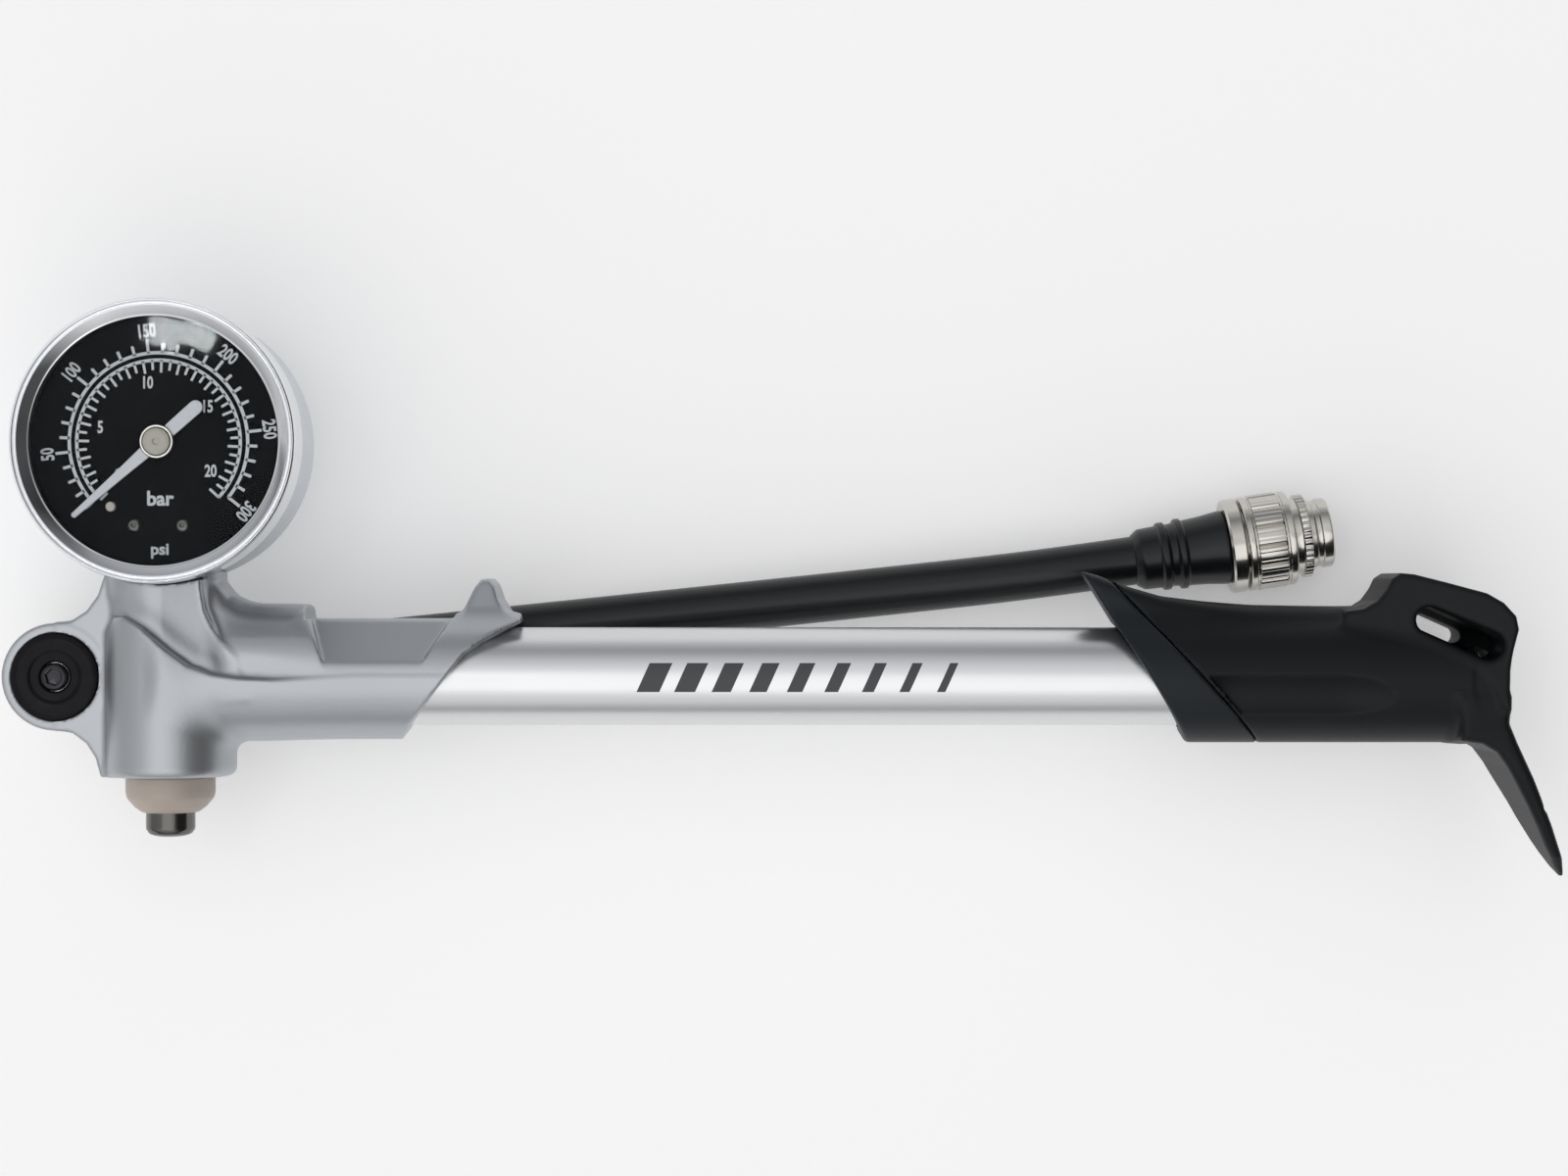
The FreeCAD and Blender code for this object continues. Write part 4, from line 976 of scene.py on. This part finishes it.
class PUMP_OT_gauge(bpy.types.Operator):
    """Model the dial's print, the bezel and the needle"""
    bl_idname = "pump.gauge"
    bl_label = "Gauge"

    def execute(self, context):
        self.dial_print()
        self.bezel()
        self.needle()
        self.cap()
        self.studs()
        return {"FINISHED"}

    def dial_print(self):
        """Both rings with their marks, figures and units."""
        ink = DialPrint()
        ink.ring(PSI_RING, psi_angle(300))
        ink.ring(BAR_RING, psi_angle(21 * PSI_IN_BAR))
        for psi in range(10, 301, 10):
            reach = 2.2 if psi % 50 == 0 else 1.5
            ink.bar(psi_angle(psi), PSI_RING - 0.05, PSI_RING - 0.05 + reach, 0.44)
        for half in range(1, 43):
            reach = 1.9 if half % 2 == 0 else 1.5
            ink.bar(psi_angle(half / 2 * PSI_IN_BAR), BAR_RING + 0.05 - reach, BAR_RING + 0.05, 0.38)
        ink.word("0", (-6.1, -4.9), 2.3, 0.72)
        for psi in range(50, 301, 50):
            angle = psi_angle(psi)
            place = (PSI_FIGURES * math.cos(angle), PSI_FIGURES * math.sin(angle))
            ink.word(str(psi), place, 2.7, 0.72, angle - math.pi / 2)
        for bar in (5, 10, 15, 20):
            angle = psi_angle(bar * PSI_IN_BAR)
            place = (BAR_FIGURES * math.cos(angle), BAR_FIGURES * math.sin(angle))
            ink.word(str(bar), place, 2.5, 0.72)
        ink.word("bar", (0.2, -8.5), 3.0, 1.0)
        ink.word("psi", (0.2, -16.0), 2.4, 1.05)
        move = Vector((GAUGE.x, GAUGE.y, DIAL_TOP + mm(shapes().print_height)))
        mesh = flat_mesh("dial_print", [v + move for v in ink.vertices], ink.faces)
        show("dial_print", mesh, "dial_ink", "head")

    def bezel(self):
        """The bright ring: a wide inward slope with a thin bead outside it."""
        inner = CASE_RADIUS
        outer = BEZEL_RADIUS
        skirt, top = corner("gauge_bezel", 0).z, corner("gauge_bezel", 1).z
        profile = [(skirt, inner - 0.63), (top - 1.4, inner - 0.63), (top - 1.4, inner - 2.15),
                   (top - 1.35, inner - 2.2), (top - 1.25, inner - 1.95), (top - 0.12, outer - 1.1),
                   (top - 0.55, outer - 0.9), (top - 0.55, outer - 0.75), (top - 0.1, outer - 0.55),
                   (top, outer - 0.35), (top - 0.3, outer - 0.08), (top - 1.1, outer), (skirt + 1.0, outer),
                   (skirt, outer - 0.25)]
        turned("bezel_ring", profile, (0.12, 4), GAUGE_LINE, 180, "chrome_ring", "head", ["gauge_bezel"])

    def needle(self):
        """The tapered hand with its round tail, thinned towards its top."""
        low, high = corner("gauge_needle", 0).z, corner("gauge_needle", 1).z
        tip, tail, tail_half = 16.7, 8.7, 1.05
        upper_side = [(tip, 0.32), (tip - 0.15, 0.42), (12, 0.56), (6, 0.78), (2.4, 0.95), (-2.2, 0.95),
                      (-3.0, 1.0), (-tail + 1.1, tail_half)]
        upper_side += [(-tail + tail_half - tail_half * math.sin(a), tail_half * math.cos(a))
                       for a in (math.radians(25 * k) for k in range(1, 4))]
        outline = [(tip + 0.1, 0.0), *upper_side, (-tail, 0.0), *((x, -y) for x, y in reversed(upper_side))]
        turn = Matrix.Rotation(math.radians(FIRST_MARK), 4, "Z")
        move = Matrix.Translation(Vector((GAUGE.x, GAUGE.y, 0)))
        count = len(outline)
        vertices = []
        for level, inset in ((low, 0.0), (high - 0.08, 0.0), (high, 0.12)):
            for x, y in outline:
                shrink = 1 - inset / max(abs(y), 0.2) if inset else 1
                vertices.append(move @ turn @ Vector((x, y * max(shrink, 0.3), level)))
        faces = [tuple(range(count))[::-1], tuple(range(2 * count, 3 * count))]
        for layer in (0, count):
            faces += [(layer + i, layer + (i + 1) % count, layer + count + (i + 1) % count, layer + count + i)
                      for i in range(count)]
        mesh = closed_mesh("needle_hand", vertices, faces, JOIN)
        show("needle_hand", mesh, "needle_white", "gauge_hand", ["gauge_needle"], sharp=30)

    def cap(self):
        """The plated hub on the hand and the beige boss in it."""
        base = corner("needle_cap", 0).z
        hub = [(base, 0.0), (base + 0.25, 0.0), (base + 0.25, 2.05), (base + 0.42, 2.15), (base + 0.42, 2.45),
               (base + 0.2, 2.6), (base, 2.6)]
        turned("needle_hub", hub, (0.08, 3), GAUGE_LINE, 72, "nickel", "gauge_hand", ["needle_cap"])
        boss = [(base + 0.26, 0.0), (base + 0.45, 0.0), (base + 0.45, 0.42), (base + 0.8, 0.5),
                (base + 0.8, 1.5), (base + 0.6, 2.0), (base + 0.26, 2.0)]
        turned("needle_boss", boss, (0.08, 3), GAUGE_LINE, 72, "cap_beige", "gauge_hand")

    def studs(self):
        """The two domed screws in the dial and the hand's stop pin."""
        base = DIAL_TOP
        rim = 1.3
        dome = [(base, 0.0), (base + 0.32, 0.0), (base + 0.34, 0.28), (base + 0.66, 0.34), (base + 0.58, 0.75),
                (base + 0.34, 1.12), (base, rim)]
        reach = span("dial_screws").x / 2 - rim
        middle = spot("dial_screws")
        for number, side in enumerate((-1, 1)):
            line = ((middle.x + side * reach, middle.y, 0), UP)
            turned("dial_screw_%d" % number, dome, (0.1, 3), line, 48, "dark_pin", "head",
                   ["dial_screws"] if side < 0 else ())
        angle, radius = math.radians(234), 11.9
        pin = [(base, 0.0), (base + 0.9, 0.0), (base + 0.9, 0.6), (base + 0.7, 0.75), (base, 0.75)]
        line = ((GAUGE.x + radius * math.cos(angle), GAUGE.y + radius * math.sin(angle), 0), UP)
        turned("stop_pin", pin, (0.1, 3), line, 32, "cap_beige", "head")


# The printed bars: where the first starts, how they follow one another, and their shape.
MARKS = 9
FIRST_BAR, BAR_PITCH = -22.0, 5.6
WIDEST_BAR, BAR_NARROWS = 3.4, 0.27
BAR_TALL, BAR_LEAN = 4.4, 0.45
BAR_STEPS = 8
INK_HEIGHT = 0.015


class PUMP_OT_barrel(bpy.types.Operator):
    """Print a plain row of slanted bars on the barrel"""
    bl_idname = "pump.barrel"
    bl_label = "Barrel marks"

    def execute(self, context):
        radius = BARREL_RADIUS + INK_HEIGHT
        vertices, faces = [], []
        for number in range(MARKS):
            start = FIRST_BAR + number * BAR_PITCH
            width = WIDEST_BAR - number * BAR_NARROWS
            for k in range(BAR_STEPS + 1):
                climb = BAR_TALL * (k / BAR_STEPS - 0.5)
                angle = climb / radius
                lean = BAR_LEAN * (climb + BAR_TALL / 2)
                for side in (0.0, width):
                    vertices.append((start + lean + side, radius * math.sin(angle), radius * math.cos(angle)))
            first = number * 2 * (BAR_STEPS + 1)
            faces += [(i, i + 1, i + 3, i + 2) for i in range(first, first + 2 * BAR_STEPS, 2)]
        mesh = flat_mesh("barrel_marks", vertices, faces)
        show("barrel_marks", mesh, "barrel_ink", "head")
        return {"FINISHED"}


# The hose's route in plan, from the pivot's axis, as the CAD part has it.
ROUTE = [(9.0, 0.9), (45.5, 4.54), (91.5, 9.29), (127.5, 13.07), (149.5, 15.48), (164.5, 17.70)]

# Where the coupler's nut has its coarse grooves and its fine ones, as lengths from the hose's end.
COARSE_FROM, COARSE_TO, COARSE_DEEPER_THAN = 18.1, 22.6, 7.0
FINE_FROM, FINE_TO, FINE_DEEPER_THAN = 25.4, 26.6, 6.0


class PUMP_OT_hose(bpy.types.Operator):
    """Lay the hose along its route, with its boot and the knurled coupler"""
    bl_idname = "pump.hose"
    bl_label = "Hose and coupler"

    def execute(self, context):
        points = [Vector((EYE.x + across, EYE.y + up, HOSE_LEVEL)) * MM for across, up in ROUTE]
        curve = bpy.data.curves.new("air_hose", "CURVE")
        curve.dimensions = "3D"
        line = curve.splines.new("NURBS")
        line.points.add(len(points) - 1)
        for held, place in zip(line.points, points):
            held.co = (*place, 1.0)
        line.order_u = 3
        line.use_endpoint_u = True
        line.resolution_u = 24
        curve.bevel_depth = span("hose").z / 2 * MM
        curve.bevel_resolution = 10
        curve.use_fill_caps = True
        curve.materials.append(FINISHES["black_hose"])
        hose = bpy.data.objects.new("air_hose", curve)
        bpy.context.scene.collection.objects.link(hose)
        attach(hose, "hose_line")
        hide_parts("hose")
        end_line = (points[-1] / MM, (points[-1] - points[-2]).normalized())
        boot = self.boot(end_line)
        nut = self.nut(end_line)
        return {"FINISHED"}

    def boot(self, line):
        """The rubber boot with its two ribs."""
        profile = [
            (-0.6, 3.85), (0.1, 4.35), (0.7, 4.75), (3.4, 4.85), (3.7, 5.3), (4.7, 5.3), (5.0, 4.85),
            (6.1, 4.95), (6.4, 5.5), (7.3, 5.5), (7.6, 5.1), (10.5, 5.35), (13.4, 5.75), (14.0, 5.7),
            (14.0, 2.6), (-0.6, 2.6)]
        return turned("boot_sleeve", profile, (0.35, 5), line, 96, "black_hose", "hose_line", ["hose_boot"],
                      sharp=50)

    def nut(self, line):
        """The nut that is turned by hand."""
        depth = mm(shapes().knurl_depth)
        count = shapes().knurl_count

        def knurl(along, radius, angle):
            if COARSE_FROM <= along <= COARSE_TO and radius > COARSE_DEEPER_THAN:
                groove = depth * max(0.0, math.cos(count * angle)) ** 8
                return radius - groove - 0.07 * max(0.0, math.cos(3 * count * angle)) ** 4
            if FINE_FROM <= along <= FINE_TO and radius > FINE_DEEPER_THAN:
                return radius - 0.22 * (0.5 + 0.5 * math.cos(3 * count * angle))
            return radius

        profile = [
            (16.7, 5.26), (20.2, 5.26), (20.2, 4.25), (22.2, 4.25), (22.2, 3.86), (30.2, 3.86), (30.2, 5.1),
            (29.9, 5.4), (28.6, 5.4), (28.4, 5.15), (27.7, 5.15), (27.5, 5.4), (26.7, 5.4), (26.6, 6.5),
            (25.4, 6.5), (25.3, 5.9), (24.2, 5.9), (24.1, 7.1), (23.9, 7.35), (23.0, 7.35), (22.9, 7.15),
            (22.6, 7.15),
            (22.5, 7.45), (18.2, 7.45), (18.1, 7.15), (17.8, 7.15), (17.7, 7.4), (16.9, 7.4), (16.7, 7.2)]
        return turned("coupler_knurl", profile, (0.09, 3), line, count * 24, "nickel", "coupler_ring",
                      ["coupler_nut"], sharp=40, ripple=knurl)


class PUMP_OT_small_parts(bpy.types.Operator):
    """Model the disc and screw at the eye and the bleed valve"""
    bl_idname = "pump.small_parts"
    bl_label = "Eye disc and bleed valve"

    def execute(self, context):
        self.eye()
        self.bleed()
        return {"FINISHED"}

    def eye(self):
        """The dished disc and the socket screw in it."""
        base, top = corner("eye_disc", 0).z, corner("eye_disc", 1).z
        line = ((EYE.x, EYE.y, 0), UP)
        disc = [(base, 2.2), (top - 0.55, 2.2), (top - 0.35, 2.5), (top - 0.35, 3.6), (top - 0.05, 4.1),
                (top, 5.7), (top - 0.25, 6.45), (base, 6.5)]
        turned("eye_cap", disc, (0.2, 4), line, 120, "black_disc", "head", ["eye_disc"], sharp=40)
        low, high = corner("pivot_screw", 0).z, corner("pivot_screw", 1).z
        socket = 1.25

        def hexagon(along, radius, angle):
            if radius > socket + 0.1 or along < high - 1.2:
                return radius
            return radius * math.cos(math.pi / 6) / math.cos((angle % (math.pi / 3)) - math.pi / 6)

        screw = [(low, 0.0), (high - 1.1, 0.0), (high - 1.1, socket), (high - 0.1, socket), (high, 1.4),
                 (high - 0.1, 1.8), (high - 0.5, 2.1), (low, 2.1)]
        turned("pivot_socket", screw, (0.06, 3), line, 72, "black_screw", "head", ["pivot_screw"], sharp=30,
               ripple=hexagon)

    def bleed(self):
        """The beige collar of the bleed valve and the plunger that is pressed."""
        line = ((GAUGE.x, 0, 0), (0, 1, 0))
        low, top = corner("bleed_bush", 0).y, corner("bleed_bush", 1).y
        collar = [(top, 1.25), (low + 8.6, 1.25), (low + 8.6, 3.76), (low, 3.76), (low + 0.1, 4.35),
                  (low + 0.9, 5.4), (low + 2.3, 6.55), (low + 3.1, 6.7), (low + 5.3, 6.7), (low + 5.45, 6.5),
                  (low + 5.48, 5.0), (top, 5.0)]
        turned("bleed_collar", collar, (0.3, 5), line, 96, "beige_bush", "head", ["bleed_bush"], sharp=50)
        tip, end = corner("bleed_pin", 0).y, corner("bleed_pin", 1).y
        pin = [(tip, 0.0), (tip, 2.2), (tip + 0.35, 3.2), (tip + 1.1, 3.7), (tip + 5.4, 3.7), (tip + 5.4, 1.2),
               (end - 0.9, 1.2), (end - 0.9, 2.1), (end, 2.1), (end, 0.0)]
        turned("bleed_plunger", pin, (0.3, 5), line, 96, "dark_pin", "bleed_button", ["bleed_pin"], sharp=50)


FLOOR_GAP = 0.0004


class PUMP_OT_stage(bpy.types.Operator):
    """Set up the floor, the lights and the camera"""
    bl_idname = "pump.stage"
    bl_label = "Stage"

    def execute(self, context):
        scene = context.scene
        half = 2.5
        level = CAD_BOX[0].z - FLOOR_GAP
        corners = [(-half, -half, level), (half, -half, level), (half, half, level), (-half, half, level)]
        floor = bpy.data.objects.new("floor", flat_mesh("floor", corners, [(0, 1, 2, 3)]))
        floor.data.materials.append(pale_floor())
        scene.collection.objects.link(floor)
        self.sky(scene)
        self.lamp("top_box", (-0.08, -0.25, 1.0), (0.0, 0.0, 0.0), (1.1, 0.8), 1.6)
        lens = (-0.088, 0.052, 0.012)
        for number, across in enumerate((-0.298, -0.281)):
            self.lamp("window_%d" % number, (across, 0.136, 1.0), lens, (0.0143, 0.0165), 0.05)
        self.camera(scene)
        scene.view_settings.view_transform = "Standard"
        return {"FINISHED"}

    @staticmethod
    def camera(scene):
        """The camera, straight above the pump."""
        data = bpy.data.cameras.new("camera")
        data.lens = 68.2
        data.sensor_width = 36.0
        camera = bpy.data.objects.new("camera", data)
        camera.location = (0.0, 0.01335, 0.450)
        scene.collection.objects.link(camera)
        scene.camera = camera

    @staticmethod
    def sky(scene):
        """A pale room: dim low down, bright overhead, and dimmer towards its two ends."""
        scene.world = bpy.data.worlds.new("room")
        paint = Paint(scene.world)
        ray = paint.add("ShaderNodeTexCoord", {}, {}, "Generated")
        along, across, height = (paint.add("ShaderNodeSeparateXYZ", {}, {0: ray}, axis) for axis in "XYZ")
        turn = paint.add("ShaderNodeMath", {"operation": "ARCTAN2"}, {0: across, 1: height})
        ramp = paint.add("ShaderNodeValToRGB", {"stops": [
            (0.00, (0.30, 0.30, 0.31)), (0.22, (0.10, 0.105, 0.115)), (0.26, (0.14, 0.145, 0.155)),
            (0.33, (0.62, 0.62, 0.62)), (0.40, (0.66, 0.66, 0.66)), (0.48, (0.55, 0.55, 0.555)),
            (0.56, (0.66, 0.66, 0.67)), (0.635, (0.40, 0.405, 0.415)), (0.68, (0.17, 0.175, 0.185)),
            (0.73, (0.42, 0.43, 0.44))]}, {0: turn * (0.5 / math.pi) + 0.5})
        far_end = (along * 2.2 - 0.5).clipped()
        near_end = (along * -1.2 - 0.5).clipped()
        level = 1.34 - 1.22 * far_end - 0.60 * near_end
        shade = paint.add("ShaderNodeBackground", {}, {"Color": ramp, "Strength": level})
        paint.add("ShaderNodeOutputWorld", {}, {"Surface": shade})

    @staticmethod
    def lamp(name, place, target, size, power):
        """A soft box that points at a target; place, target and size are in metres."""
        data = bpy.data.lights.new(name, "AREA")
        data.shape = "RECTANGLE"
        data.size, data.size_y = size
        data.energy = power
        lamp = bpy.data.objects.new(name, data)
        lamp.location = place
        lamp.rotation_euler = (Vector(place) - Vector(target)).to_track_quat("Z", "Y").to_euler()
        bpy.context.scene.collection.objects.link(lamp)


BUILDERS = (PUMP_OT_finishes, PUMP_OT_stage, PUMP_OT_hose, PUMP_OT_head, PUMP_OT_grip, PUMP_OT_gauge,
            PUMP_OT_barrel, PUMP_OT_small_parts)


class PUMP_PT_panel(bpy.types.Panel):
    """Lists the steps that build the pump"""
    bl_idname = "PUMP_PT_panel"
    bl_label = "Hand air pump"
    bl_space_type = "VIEW_3D"
    bl_region_type = "UI"
    bl_category = "Pump"

    def draw(self, context):
        for group in (context.scene.pump_shapes, context.scene.pump_colours):
            for name in group.bl_rna.properties.keys():
                if name not in ("rna_type", "name"):
                    self.layout.prop(group, name)
        for builder in BUILDERS:
            self.layout.operator(builder.bl_idname)


CLASSES = (PumpShapes, PumpColours, *BUILDERS, PUMP_PT_panel)


def register():
    for item in CLASSES:
        bpy.utils.register_class(item)
    bpy.types.Scene.pump_shapes = bpy.props.PointerProperty(type=PumpShapes)
    bpy.types.Scene.pump_colours = bpy.props.PointerProperty(type=PumpColours)


def unregister():
    del bpy.types.Scene.pump_colours
    del bpy.types.Scene.pump_shapes
    for item in reversed(CLASSES):
        bpy.utils.unregister_class(item)


def main():
    """Build everything."""
    register()
    for builder in BUILDERS:
        group, name = builder.bl_idname.split(".")
        getattr(getattr(bpy.ops, group), name)()


if __name__ == "__main__":
    main()
